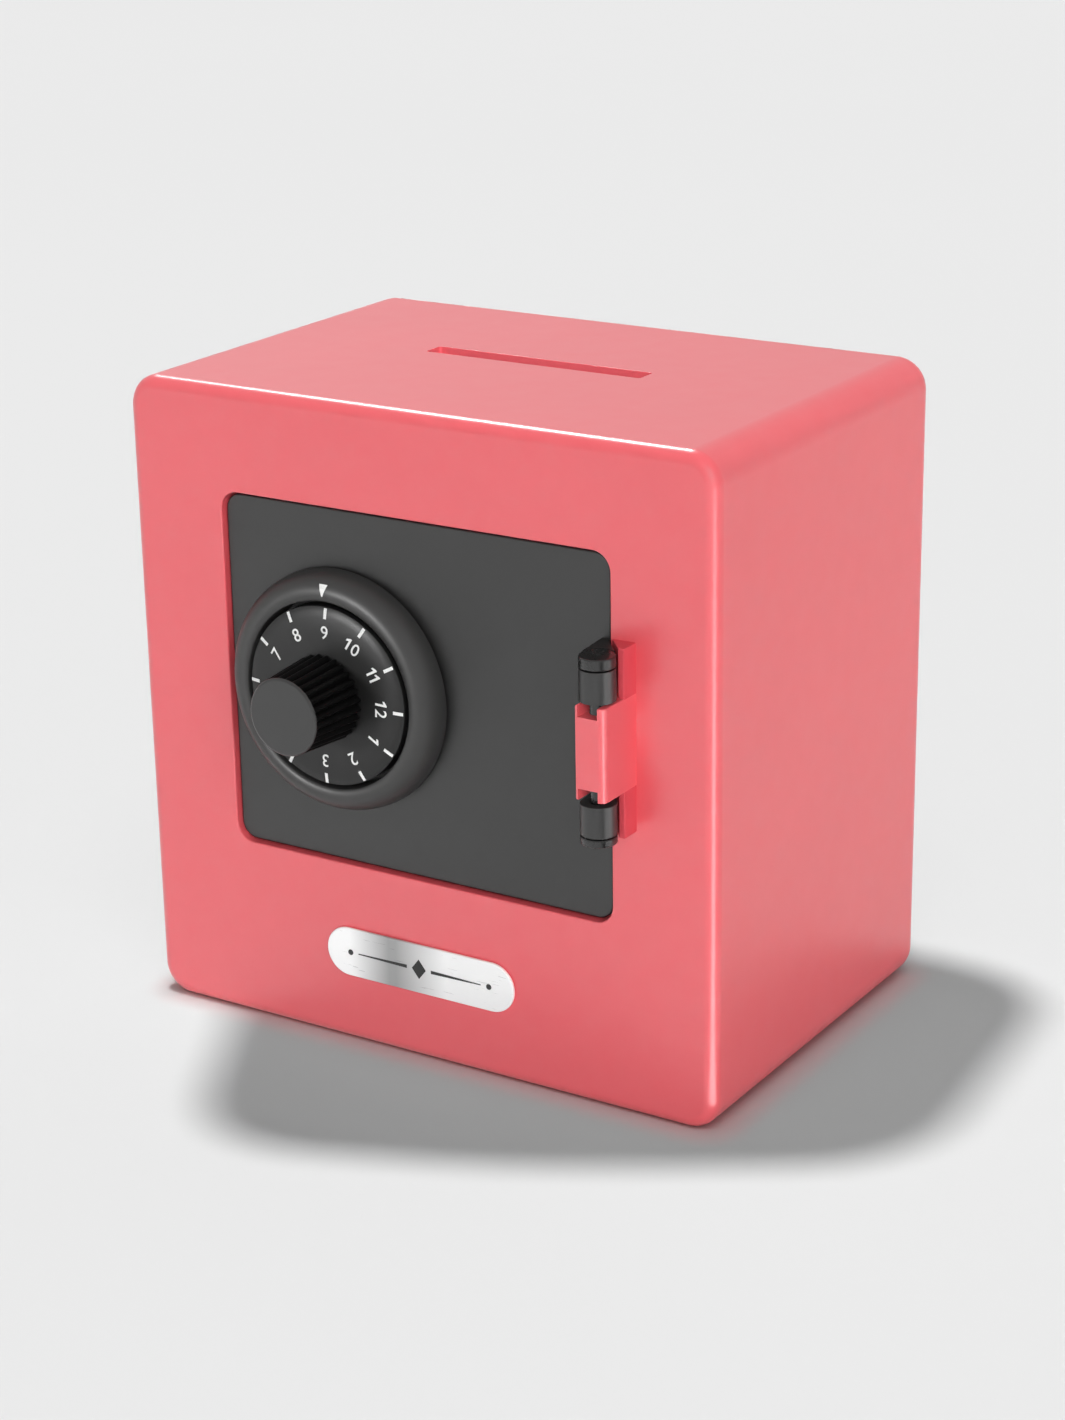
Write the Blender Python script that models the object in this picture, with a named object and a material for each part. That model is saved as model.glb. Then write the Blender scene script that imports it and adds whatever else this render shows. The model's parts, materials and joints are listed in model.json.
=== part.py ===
"""Toy safe coin bank: a moulded cube with a coin slot, a hinged door and a three-wheel dial lock.

Frame: origin on the table under the middle of the body, +X to the right seen from the front,
+Y towards the back, +Z up. Metres.
"""

import math

import bmesh
import bpy
from mathutils import Matrix, Vector

MM = 0.001

# Body shell
BODY_WIDTH = 120 * MM
BODY_DEPTH = 80 * MM
BODY_HEIGHT = 120 * MM
WALL = 2.5 * MM
REAR_WALL = 5.0 * MM
CORNER_RADIUS = 5.8 * MM
FRONT_FILLET = 2.4 * MM
REAR_FILLET = 4.0 * MM
FRONT_Y = -BODY_DEPTH / 2
REAR_Y = BODY_DEPTH / 2
MID_Z = BODY_HEIGHT / 2

# Coin slot in the top
SLOT_LENGTH = 45 * MM
SLOT_WIDTH = 4.6 * MM
SLOT_Y = 2.2 * MM
SLOT_RADIUS = 0.4 * MM

# Door and its opening
OPENING_WIDTH = 80 * MM
OPENING_LOW = 34.9 * MM
OPENING_HIGH = 101.1 * MM
OPENING_RADIUS = 3.5 * MM
DOOR_GAP = 0.4 * MM
DOOR_RECESS = 1.0 * MM
DOOR_THICKNESS = 2.5 * MM
DOOR_REAR_CHAMFER = 0.7 * MM
DOOR_FRONT_CHAMFER = 0.3 * MM
DOOR_FRONT = FRONT_Y + DOOR_RECESS
DOOR_REAR = DOOR_FRONT + DOOR_THICKNESS
OPENING_Z = (OPENING_LOW + OPENING_HIGH) / 2
OPENING_HEIGHT = OPENING_HIGH - OPENING_LOW

# Stop frame behind the door
STOP_LAP = 2.0 * MM
STOP_RIM = 4.0 * MM
STOP_THICKNESS = 2.0 * MM
STOP_GAP = 0.3 * MM
STOP_BREAK = 24 * MM

# Hinge: two knuckles on the door, one lug on the shell, two headed pins
HINGE_X = 41.7 * MM
HINGE_Y = -47.0 * MM
BARREL_RADIUS = 3.15 * MM
PIN_RADIUS = 1.3 * MM
UPPER_PIN_HEAD = 2.0 * MM
LOWER_PIN_HEAD = 1.4 * MM
PIN_CHAMFER = 0.3 * MM
PIN_GRIP = 6.0 * MM
PIN_RUNNING_GAP = 0.1 * MM
PIN_PRESS_GAP = 0.03 * MM
UPPER_KNUCKLE = (78.2 * MM, 83.8 * MM)
LOWER_KNUCKLE = (54.75 * MM, 60.3 * MM)
HEAD_GAP = 0.2 * MM
HEAD_RECESS_GAP = 0.15 * MM
ARM_FOOT_LEFT = 37.8 * MM
ARM_FOOT_RIGHT = 39.5 * MM
ARM_CLEAR_X = 39.7 * MM
LUG_LEFT = 39.3 * MM
LUG_RIGHT = 44.9 * MM
LUG_FRONT = -50.4 * MM
LUG_SPAN = (61.4 * MM, 77.9 * MM)
LUG_RADIUS = 1.3 * MM
LUG_NOTCH_WIDTH = 3.8 * MM
LUG_NOTCH_HEIGHT = 2.0 * MM
STRIP_SPAN = (53.2 * MM, 86.5 * MM)
STRIP_FRONT = -43.9 * MM
STRIP_ARM_GAP = 0.7 * MM

# Dial group, all turning about one axis parallel to Y
DIAL_X = -15.4 * MM
DIAL_Z = 68.1 * MM
BEZEL_RADIUS = 22.1 * MM
BEZEL_BORE = 17.2 * MM
BEZEL_CREST_RADIUS = 18.5 * MM
BEZEL_WALL = 0.9 * MM
BEZEL_CREST = 5.3 * MM
BEZEL_LIP = 4.7 * MM
DIAL_RADIUS = 16.45 * MM
DIAL_FRONT = -44.7 * MM
DIAL_REAR = -40.0 * MM
DIAL_DISH = 0.5 * MM
KNOB_FACE = -57.1 * MM
KNOB_BACK = -44.95 * MM
KNOB_TIP_RADIUS = 7.1 * MM
KNOB_BASE_RADIUS = 7.9 * MM
KNOB_CHAMFER = 0.6 * MM
KNOB_FLUTES = 28
KNOB_FLUTE_DEPTH = 0.45 * MM
SPINDLE_RADIUS = 2.4 * MM
SPINDLE_FLAT = 1.7 * MM
SPINDLE_FRONT = -55.5 * MM
SPINDLE_REAR = -21.9 * MM
BORE_GAP = 0.12 * MM
SPINDLE_HOLE = 6.5 * MM
DRAG_RING_RADIUS = 8.0 * MM
WASHER_RADIUS = 4.5 * MM
WASHER_THICKNESS = 0.8 * MM

# Combination wheels, keeper fingers and lock housing, counted from the front finger
WHEEL_RADIUS = 16.8 * MM
WHEEL_THICKNESS = 2.0 * MM
WHEEL_PITCH = 4.0 * MM
WHEEL_FRONT = -34.3 * MM
WHEEL_HUB_RADIUS = 4.6 * MM
WHEEL_HUB_LENGTH = 1.8 * MM
NOTCH_HALF = 3.2 * MM
NOTCH_BOTTOM = 10.3 * MM
TAB_RADIUS = 7.7 * MM
TAB_SIZE = 2.4 * MM
TAB_LENGTH = 1.5 * MM
TAB_ANGLE = math.radians(11.5)
FINGER_THICKNESS = 1.2 * MM
FINGER_FRONT = -35.9 * MM
FINGER_HALF = 2.2 * MM
FINGER_TIP_X = -29.2 * MM
FINGER_ROOT_X = -41.5 * MM
KEEPER_BOLT_X = -50.5 * MM
KEEPER_BOLT_SPREAD = 11 * MM
KEEPER_BASE_Y = (-30.0 * MM, -27.5 * MM)
KEEPER_BASE_MARGIN = 4 * MM
HOUSING_RADIUS = 19.2 * MM
HOUSING_WALL = 1.6 * MM
HOUSING_FRONT = -36.3 * MM
HOUSING_REAR = -22.1 * MM
HOUSING_SLOT_HALF = 3.4 * MM
EAR_REACH = 22.3 * MM
EAR_RADIUS = 3.0 * MM
EAR_Y = (-31.3 * MM, -29.3 * MM)
EAR_ANGLES = (0, 120, 240)

# Rear cover
COVER_OPENING = 90 * MM
COVER_OPENING_RADIUS = 12 * MM
COVER_REBATE = 98 * MM
COVER_REBATE_RADIUS = 6 * MM
COVER_GAP = 0.3 * MM
COVER_FRONT = 37.4 * MM
COVER_REAR = 39.9 * MM
COVER_BOLT = 44.0 * MM
COVER_SEAT = 0.9 * MM
COVER_BOSS_LENGTH = 6.0 * MM

# Screws: the same pan-head pattern everywhere
SCREW_SHANK = 1.0 * MM
SCREW_PILOT = 1.1 * MM
SCREW_CLEARANCE = 1.3 * MM
SCREW_HEAD = 2.4 * MM
SCREW_HEAD_HEIGHT = 1.4 * MM
SCREW_HEAD_GAP = 0.4 * MM
COVER_SCREW_GRIP = 6.0 * MM
KEEPER_SCREW_GRIP = 5.5 * MM
HOUSING_SCREW_TIP = DOOR_REAR - 0.5 * MM
SPINDLE_SCREW_GRIP = 6.0 * MM
BOSS_RADIUS = 3.2 * MM

# Name plate
PLATE_LENGTH = 40.2 * MM
PLATE_HEIGHT = 9.4 * MM
PLATE_THICKNESS = 0.6 * MM
PLATE_Z = 18.0 * MM

JOIN_GAP = 0.1 * MM
OVERLAP = 1.0 * MM
ROUND = 32
FINE_SIDES = 64
BOSS_SIDES = 24
SCREW_SIDES = 20
PILOT_SIDES = 16
PLATE_END_RADIUS = PLATE_HEIGHT / 2 - 0.01 * MM

# Finishes: colour, roughness, metallic
CORAL = ((0.80, 0.17, 0.19), 0.28, 0.0)
CHARCOAL = ((0.070, 0.068, 0.066), 0.4, 0.0)
BLACK = ((0.012, 0.012, 0.012), 0.45, 0.0)
STEEL = ((0.62, 0.61, 0.60), 0.3, 1.0)
BRASS = ((0.70, 0.48, 0.20), 0.4, 1.0)
PLATE_METAL = ((0.75, 0.75, 0.76), 0.3, 1.0)
FELT = ((0.03, 0.03, 0.03), 0.9, 0.0)


def clear_scene():
    for item in list(bpy.data.objects):
        bpy.data.objects.remove(item, do_unlink=True)


def make_material(name, colour, roughness, metallic=0.0):
    material = bpy.data.materials.new(name)
    material.use_nodes = True
    shader = material.node_tree.nodes["Principled BSDF"]
    shader.inputs["Base Color"].default_value = (*colour, 1.0)
    shader.inputs["Roughness"].default_value = roughness
    shader.inputs["Metallic"].default_value = metallic
    return material


def make_empty(name, location, parent=None):
    """An empty on a joint axis; the pieces that turn on the joint are its children."""
    empty = bpy.data.objects.new(name, None)
    bpy.context.collection.objects.link(empty)
    empty.empty_display_size = 10 * MM
    empty.parent = parent
    origin = Vector(parent["rest"]) if parent else Vector()
    empty.location = Vector(location) - origin
    empty["rest"] = tuple(location)
    return empty


def add_piece(name, mesh, finish, parent=None):
    """Turns a bmesh in world coordinates into a named, smooth-shaded object under its joint."""
    bmesh.ops.recalc_face_normals(mesh, faces=mesh.faces)
    if parent:
        mesh.transform(Matrix.Translation(-Vector(parent["rest"])))
    data = bpy.data.meshes.new(name)
    mesh.to_mesh(data)
    mesh.free()
    data.shade_smooth()
    data.set_sharp_from_angle(angle=math.radians(35))
    piece = bpy.data.objects.new(name, data)
    bpy.context.collection.objects.link(piece)
    piece.parent = parent
    colour, roughness, metallic = finish
    data.materials.append(make_material(name, colour, roughness, metallic))
    return piece


def combine(piece, operation, mesh):
    """Adds or cuts a shape with an exact Boolean; the tool object stays as a hidden guide."""
    bmesh.ops.recalc_face_normals(mesh, faces=mesh.faces)
    data = bpy.data.meshes.new(f"{piece.name}_tool")
    mesh.to_mesh(data)
    mesh.free()
    tool = bpy.data.objects.new(data.name, data)
    bpy.context.collection.objects.link(tool)
    tool.hide_render = True
    tool.display_type = "WIRE"
    modifier = piece.modifiers.new(operation.title(), "BOOLEAN")
    modifier.operation = operation
    modifier.solver = "EXACT"
    modifier.object = tool


def cut(piece, mesh):
    combine(piece, "DIFFERENCE", mesh)


def join(piece, mesh):
    combine(piece, "UNION", mesh)


def rounded_rectangle(width, height, radius, steps=6):
    """Corner points of a rectangle centred on the origin, each corner an arc of `steps` chords."""
    points = []
    for quarter, (sx, sy) in enumerate(((1, 1), (-1, 1), (-1, -1), (1, -1))):
        centre_x = sx * (width / 2 - radius)
        centre_y = sy * (height / 2 - radius)
        for step in range(steps + 1):
            angle = math.pi / 2 * (quarter + step / steps)
            points.append((centre_x + radius * math.cos(angle), centre_y + radius * math.sin(angle)))
    return points


def loft(rings):
    """A closed solid through rings of equal point counts, with flat ends."""
    mesh = bmesh.new()
    rows = [[mesh.verts.new(point) for point in ring] for ring in rings]
    count = len(rows[0])
    for row, following in zip(rows, rows[1:]):
        for i in range(count):
            j = (i + 1) % count
            mesh.faces.new((row[i], row[j], following[j], following[i]))
    mesh.faces.new(rows[0])
    mesh.faces.new(rows[-1])
    return mesh


def slab(outline, front, rear, centre=(0, 0)):
    """An XZ outline pushed along Y."""
    return loft([[(centre[0] + x, y, centre[1] + z) for x, z in outline] for y in (front, rear)])


def column(outline, low, high):
    """An XY outline pushed along Z."""
    return loft([[(x, y, z) for x, y in outline] for z in (low, high)])


def block(low, high):
    mesh = bmesh.new()
    bmesh.ops.create_cube(mesh, size=1)
    size = Vector(high) - Vector(low)
    middle = (Vector(high) + Vector(low)) / 2
    mesh.transform(Matrix.Translation(middle) @ Matrix.Diagonal((*size, 1)))
    return mesh


def circle(radius, count=ROUND, centre=(0, 0)):
    """Points round a circle, with a point's flat side never on an axis crossing."""
    turn = [2 * math.pi * (i + 0.5) / count for i in range(count)]
    return [(centre[0] + radius * math.cos(a), centre[1] + radius * math.sin(a)) for a in turn]


def rod(centre, radius, front, rear, count=ROUND):
    """A cylinder along Y round the XZ point `centre`."""
    return slab(circle(radius, count), front, rear, centre)


def turned(profile, centre, count=ROUND, wobble=None):
    """A solid of rings along Y; `profile` lists (radius, y) from one flat end to the other."""
    rings = []
    for radius, y in profile:
        ring = []
        for i, (x, z) in enumerate(circle(1.0, count)):
            reach = radius + (wobble(i) if wobble else 0.0)
            ring.append((centre[0] + reach * x, y, centre[1] + reach * z))
        rings.append(ring)
    return loft(rings)


def screw(name, centre, head_y, shank_y, parent=None):
    """A pan-head screw along Y: head_y is under the head, shank_y is the tip."""
    side = 1 if head_y > shank_y else -1
    crown = head_y + side * SCREW_HEAD_HEIGHT
    profile = [
        (SCREW_SHANK, shank_y),
        (SCREW_SHANK, head_y),
        (SCREW_HEAD, head_y),
        (SCREW_HEAD, head_y + side * SCREW_HEAD_HEIGHT * 0.5),
        (SCREW_HEAD * 0.8, crown),
    ]
    add_piece(name, turned(profile, centre, SCREW_SIDES), STEEL, parent)


def shell_ring(y, inset):
    outline = rounded_rectangle(
        BODY_WIDTH - 2 * inset, BODY_HEIGHT - 2 * inset, CORNER_RADIUS - inset
    )
    return [(x, y, MID_Z + z) for x, z in outline]


def shell_blank():
    """The outer form: a rounded cube whose front and rear rims are filleted."""
    steps = 4
    rings = []
    for step in range(steps + 1):
        angle = math.pi / 2 * step / steps
        inset = FRONT_FILLET * (1 - math.sin(angle))
        rings.append(shell_ring(FRONT_Y + FRONT_FILLET * (1 - math.cos(angle)), inset))
    for step in range(steps + 1):
        angle = math.pi / 2 * (1 - step / steps)
        inset = REAR_FILLET * (1 - math.sin(angle))
        rings.append(shell_ring(REAR_Y - REAR_FILLET * (1 - math.cos(angle)), inset))
    return loft(rings)


def lug_outline():
    """The hinge lug in plan: a block with a rounded outer front edge."""
    arc = []
    for step in range(7):
        angle = math.pi / 2 * step / 6
        arc.append(
            (
                LUG_RIGHT - LUG_RADIUS * (1 - math.cos(angle)),
                LUG_FRONT + LUG_RADIUS * (1 - math.sin(angle)),
            )
        )
    wall_edge = OPENING_WIDTH / 2 + DOOR_GAP
    inside = FRONT_Y + OVERLAP
    face = FRONT_Y - DOOR_GAP
    rear = [(LUG_LEFT, LUG_FRONT), (LUG_LEFT, face), (wall_edge, face), (wall_edge, inside)]
    return arc + rear + [(LUG_RIGHT, inside)]


def strip_outline():
    """The raised strip beside the knuckles, its inner side parallel to the door's arms."""
    tangent = arm_tangent()
    slope = (tangent[0] - ARM_CLEAR_X) / (tangent[1] - FRONT_Y)
    foot = ARM_CLEAR_X + STRIP_ARM_GAP
    crest = foot + slope * (STRIP_FRONT - FRONT_Y)
    inside = FRONT_Y + OVERLAP
    return [
        (foot, inside),
        (foot, FRONT_Y),
        (crest, STRIP_FRONT),
        (LUG_RIGHT, STRIP_FRONT),
        (LUG_RIGHT, inside),
    ]


def add_hinge_seat(shell):
    join(shell, column(strip_outline(), *STRIP_SPAN))
    join(shell, column(lug_outline(), *LUG_SPAN))
    low, high = LUG_SPAN
    half = LUG_NOTCH_WIDTH / 2
    back = HINGE_Y + PIN_RADIUS + 2 * DOOR_GAP
    for start, end in (
        (high - LUG_NOTCH_HEIGHT, high + OVERLAP),
        (low - OVERLAP, low + LUG_NOTCH_HEIGHT),
    ):
        cut(shell, block((HINGE_X - half, LUG_FRONT - OVERLAP, start), (HINGE_X + half, back, end)))
    bore = circle(PIN_RADIUS + PIN_PRESS_GAP, BOSS_SIDES, (HINGE_X, HINGE_Y))
    cut(shell, column(bore, high - PIN_GRIP - DOOR_GAP, high + OVERLAP))
    cut(shell, column(bore, low - OVERLAP, low + PIN_GRIP + DOOR_GAP))


def add_door_stop(shell):
    """A ledge round the opening, behind the door, left open where the keeper stands."""
    front = DOOR_REAR + STOP_GAP
    rear = front + STOP_THICKNESS
    rim_front = FRONT_Y + WALL - OVERLAP / 2
    centre = (0, OPENING_Z)
    outer = rounded_rectangle(
        OPENING_WIDTH + 2 * STOP_RIM, OPENING_HEIGHT + 2 * STOP_RIM, OPENING_RADIUS + STOP_RIM
    )
    inner = rounded_rectangle(
        OPENING_WIDTH - 2 * STOP_LAP, OPENING_HEIGHT - 2 * STOP_LAP, OPENING_RADIUS
    )
    join(shell, slab(outer, rim_front, rear, centre))
    opening = rounded_rectangle(OPENING_WIDTH, OPENING_HEIGHT, OPENING_RADIUS)
    cut(shell, slab(opening, FRONT_Y - OVERLAP, front, centre))
    cut(shell, slab(inner, FRONT_Y - OVERLAP, rear + OVERLAP, centre))
    left = -OPENING_WIDTH / 2
    low = (left - STOP_RIM - OVERLAP, FRONT_Y + WALL, DIAL_Z - STOP_BREAK)
    high = (left + STOP_LAP + OVERLAP, rear + OVERLAP, DIAL_Z + STOP_BREAK)
    cut(shell, block(low, high))


def add_keeper_bosses(shell):
    for side in (-1, 1):
        centre = (KEEPER_BOLT_X, DIAL_Z + side * KEEPER_BOLT_SPREAD)
        top = KEEPER_BASE_Y[0] - 2 * JOIN_GAP
        join(shell, rod(centre, BOSS_RADIUS, FRONT_Y + WALL - OVERLAP, top, BOSS_SIDES))
        cut(shell, rod(centre, SCREW_PILOT, FRONT_Y + WALL + OVERLAP, top + OVERLAP, PILOT_SIDES))


def add_cover_seat(shell):
    """The rear opening, the rebate that the cover lies in, and four screw bosses."""
    centre = (0, MID_Z)
    opening = rounded_rectangle(COVER_OPENING, COVER_OPENING, COVER_OPENING_RADIUS)
    rebate = rounded_rectangle(COVER_REBATE, COVER_REBATE, COVER_REBATE_RADIUS)
    cut(shell, slab(opening, REAR_Y - 2 * REAR_WALL, REAR_Y + OVERLAP, centre))
    cut(shell, slab(rebate, COVER_FRONT - JOIN_GAP, REAR_Y + OVERLAP, centre))
    boss_front = REAR_Y - REAR_WALL - COVER_BOSS_LENGTH
    for x, z in corner_points(COVER_BOLT):
        join(shell, rod((x, z), BOSS_RADIUS, boss_front, COVER_FRONT - OVERLAP, BOSS_SIDES))
        cut(shell, rod((x, z), SCREW_PILOT, boss_front + OVERLAP, COVER_FRONT + OVERLAP, PILOT_SIDES))


def corner_points(reach):
    return [(sx * reach, MID_Z + sz * reach) for sz in (1, -1) for sx in (-1, 1)]


def build_shell():
    shell = add_piece("body_shell", shell_blank(), CORAL)
    hollow = rounded_rectangle(
        BODY_WIDTH - 2 * WALL, BODY_HEIGHT - 2 * WALL, CORNER_RADIUS - WALL
    )
    cut(shell, slab(hollow, FRONT_Y + WALL, REAR_Y - REAR_WALL, (0, MID_Z)))
    add_door_stop(shell)
    add_hinge_seat(shell)
    add_keeper_bosses(shell)
    add_cover_seat(shell)
    slot = rounded_rectangle(SLOT_LENGTH, SLOT_WIDTH, SLOT_RADIUS, 2)
    slot = [(x, SLOT_Y + y) for x, y in slot]
    cut(shell, column(slot, BODY_HEIGHT - WALL - OVERLAP, BODY_HEIGHT + OVERLAP))


def build_rear_cover():
    side = COVER_REBATE - 2 * COVER_GAP
    outline = rounded_rectangle(side, side, COVER_REBATE_RADIUS - COVER_GAP)
    cover = add_piece(
        "rear_cover", slab(outline, COVER_FRONT, COVER_REAR, (0, MID_Z)), CORAL
    )
    seat = COVER_FRONT + COVER_SEAT
    names = ("top_left", "top_right", "bottom_left", "bottom_right")
    for name, centre in zip(names, corner_points(COVER_BOLT)):
        cut(cover, rod(centre, SCREW_CLEARANCE, COVER_FRONT - OVERLAP, COVER_REAR + OVERLAP, SCREW_SIDES))
        cut(cover, rod(centre, SCREW_HEAD + SCREW_HEAD_GAP, seat, COVER_REAR + OVERLAP, BOSS_SIDES))
        screw(
            f"rear_cover_screw_{name}",
            centre,
            seat + JOIN_GAP,
            COVER_FRONT - COVER_SCREW_GRIP,
        )


def build_name_plate():
    outline = rounded_rectangle(PLATE_LENGTH, PLATE_HEIGHT, PLATE_END_RADIUS, 10)
    rear = FRONT_Y - JOIN_GAP
    add_piece(
        "name_plate",
        slab(outline, rear - PLATE_THICKNESS, rear, (0, PLATE_Z)),
        PLATE_METAL,
    )


def build_keeper():
    """The fixed comb whose fingers stand in front of each combination wheel."""
    base_front, base_rear = KEEPER_BASE_Y
    side = KEEPER_BASE_MARGIN
    reach = KEEPER_BOLT_SPREAD + KEEPER_BASE_MARGIN
    base = block(
        (KEEPER_BOLT_X - side, base_front, DIAL_Z - reach),
        (KEEPER_BOLT_X + side, base_rear, DIAL_Z + reach),
    )
    keeper = add_piece("lock_keeper", base, BLACK)
    last_finger = FINGER_FRONT + 2 * WHEEL_PITCH
    join(
        keeper,
        block(
            (KEEPER_BOLT_X, FINGER_FRONT, DIAL_Z - FINGER_HALF),
            (FINGER_ROOT_X, last_finger + FINGER_THICKNESS, DIAL_Z + FINGER_HALF),
        ),
    )
    for number in range(3):
        front = FINGER_FRONT + number * WHEEL_PITCH
        join(
            keeper,
            block(
                (FINGER_ROOT_X - OVERLAP, front, DIAL_Z - FINGER_HALF),
                (FINGER_TIP_X, front + FINGER_THICKNESS, DIAL_Z + FINGER_HALF),
            ),
        )
    for name, side in (("upper", 1), ("lower", -1)):
        centre = (KEEPER_BOLT_X, DIAL_Z + side * KEEPER_BOLT_SPREAD)
        cut(keeper, rod(centre, SCREW_CLEARANCE, base_front - OVERLAP, base_rear + OVERLAP, SCREW_SIDES))
        screw(
            f"keeper_screw_{name}",
            centre,
            base_rear + JOIN_GAP,
            base_front - KEEPER_SCREW_GRIP,
        )


def build_hinge_pins():
    spots = (
        ("hinge_pin_upper", UPPER_KNUCKLE[1] + HEAD_GAP, LUG_SPAN[1] - PIN_GRIP, UPPER_PIN_HEAD),
        ("hinge_pin_lower", LOWER_KNUCKLE[0] - HEAD_GAP, LUG_SPAN[0] + PIN_GRIP, -LOWER_PIN_HEAD),
    )
    for name, under_head, tip, head in spots:
        top = under_head + head
        side = math.copysign(1, head)
        rings = []
        for radius, z in (
            (PIN_RADIUS, tip),
            (PIN_RADIUS, under_head),
            (BARREL_RADIUS, under_head),
            (BARREL_RADIUS, top - side * PIN_CHAMFER),
            (BARREL_RADIUS - PIN_CHAMFER, top),
        ):
            rings.append([(x, y, z) for x, y in circle(radius, ROUND, (HINGE_X, HINGE_Y))])
        add_piece(name, loft(rings), CHARCOAL)


def arm_tangent():
    """Where the line from the arm's outer foot touches the right side of the barrel."""
    dx = HINGE_X - ARM_CLEAR_X
    dy = HINGE_Y - FRONT_Y
    distance = math.hypot(dx, dy)
    angle = math.atan2(dy, dx) + math.asin(BARREL_RADIUS / distance)
    length = math.sqrt(distance**2 - BARREL_RADIUS**2)
    return ARM_CLEAR_X + length * math.cos(angle), FRONT_Y + length * math.sin(angle)


def arm_outline():
    """The arm in plan, from the door's edge to both sides of the barrel."""
    rear = DOOR_FRONT + OVERLAP
    return [
        (ARM_FOOT_LEFT, rear),
        (HINGE_X - BARREL_RADIUS, HINGE_Y),
        (HINGE_X, HINGE_Y),
        arm_tangent(),
        (ARM_CLEAR_X, FRONT_Y),
        (ARM_FOOT_RIGHT, DOOR_FRONT),
        (ARM_FOOT_RIGHT, rear),
    ]


def add_knuckle(door, span, room_below, room_above):
    """A barrel on an arm; the arm goes on past it to the pin's head, which sits in a recess."""
    low, high = span
    join(door, column(circle(BARREL_RADIUS, ROUND, (HINGE_X, HINGE_Y)), low, high))
    join(door, column(arm_outline(), low - room_below, high + room_above))
    recess = circle(BARREL_RADIUS + HEAD_RECESS_GAP, ROUND, (HINGE_X, HINGE_Y))
    if room_above:
        cut(door, column(recess, high, high + room_above + OVERLAP))
    if room_below:
        cut(door, column(recess, low - room_below - OVERLAP, low))
    bore = circle(PIN_RADIUS + PIN_RUNNING_GAP, BOSS_SIDES, (HINGE_X, HINGE_Y))
    cut(door, column(bore, low - OVERLAP, high + OVERLAP))


def build_door(door_axis):
    width = OPENING_WIDTH - 2 * DOOR_GAP
    height = OPENING_HEIGHT - 2 * DOOR_GAP
    rings = []
    for y, inset in (
        (DOOR_FRONT, DOOR_FRONT_CHAMFER),
        (DOOR_FRONT + DOOR_FRONT_CHAMFER, 0.0),
        (DOOR_REAR - DOOR_REAR_CHAMFER, 0.0),
        (DOOR_REAR, DOOR_REAR_CHAMFER),
    ):
        outline = rounded_rectangle(
            width - 2 * inset, height - 2 * inset, OPENING_RADIUS - DOOR_GAP - inset
        )
        rings.append([(x, y, OPENING_Z + z) for x, z in outline])
    door = add_piece("door_panel", loft(rings), CHARCOAL, door_axis)
    add_knuckle(door, UPPER_KNUCKLE, 0, HEAD_GAP + UPPER_PIN_HEAD)
    add_knuckle(door, LOWER_KNUCKLE, HEAD_GAP + LOWER_PIN_HEAD, 0)
    for centre in ear_centres():
        boss_end = EAR_Y[0] - 2 * JOIN_GAP
        join(door, rod(centre, EAR_RADIUS, DOOR_REAR - OVERLAP, boss_end, BOSS_SIDES))
        cut(door, rod(centre, SCREW_PILOT, DOOR_REAR - OVERLAP, boss_end + OVERLAP, PILOT_SIDES))
    cut(
        door,
        rod(
            (DIAL_X, DIAL_Z),
            SPINDLE_RADIUS + BORE_GAP,
            DOOR_FRONT - OVERLAP,
            DOOR_REAR + OVERLAP,
        ),
    )


def ear_centres():
    return [
        (
            DIAL_X + EAR_REACH * math.cos(math.radians(angle)),
            DIAL_Z + EAR_REACH * math.sin(math.radians(angle)),
        )
        for angle in EAR_ANGLES
    ]


def build_bezel(door_axis):
    """A ring fixed to the door round the dial, rising to a crest and falling to its inner lip."""
    rear = DOOR_FRONT - JOIN_GAP
    profile = [(BEZEL_RADIUS, rear), (BEZEL_RADIUS, rear - BEZEL_WALL)]
    outer = BEZEL_RADIUS - BEZEL_CREST_RADIUS
    inner = BEZEL_CREST_RADIUS - BEZEL_BORE
    steps = 4
    for step in range(1, steps + 1):
        angle = math.pi / 2 * step / steps
        rise = BEZEL_WALL + (BEZEL_CREST - BEZEL_WALL) * math.sin(angle)
        profile.append((BEZEL_CREST_RADIUS + outer * math.cos(angle), rear - rise))
    for step in range(1, steps + 1):
        angle = math.pi / 2 * step / steps
        rise = BEZEL_LIP + (BEZEL_CREST - BEZEL_LIP) * math.cos(angle)
        profile.append((BEZEL_CREST_RADIUS - inner * math.sin(angle), rear - rise))
    bezel = add_piece(
        "dial_bezel",
        turned(profile, (DIAL_X, DIAL_Z), FINE_SIDES),
        CHARCOAL,
        door_axis,
    )
    bore = rod((DIAL_X, DIAL_Z), BEZEL_BORE, DIAL_FRONT - 5 * MM, DOOR_FRONT + OVERLAP, FINE_SIDES)
    cut(bezel, bore)


def housing_shell():
    profile = [(HOUSING_RADIUS, HOUSING_FRONT), (HOUSING_RADIUS, HOUSING_REAR)]
    return turned(profile, (DIAL_X, DIAL_Z), FINE_SIDES)


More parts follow.
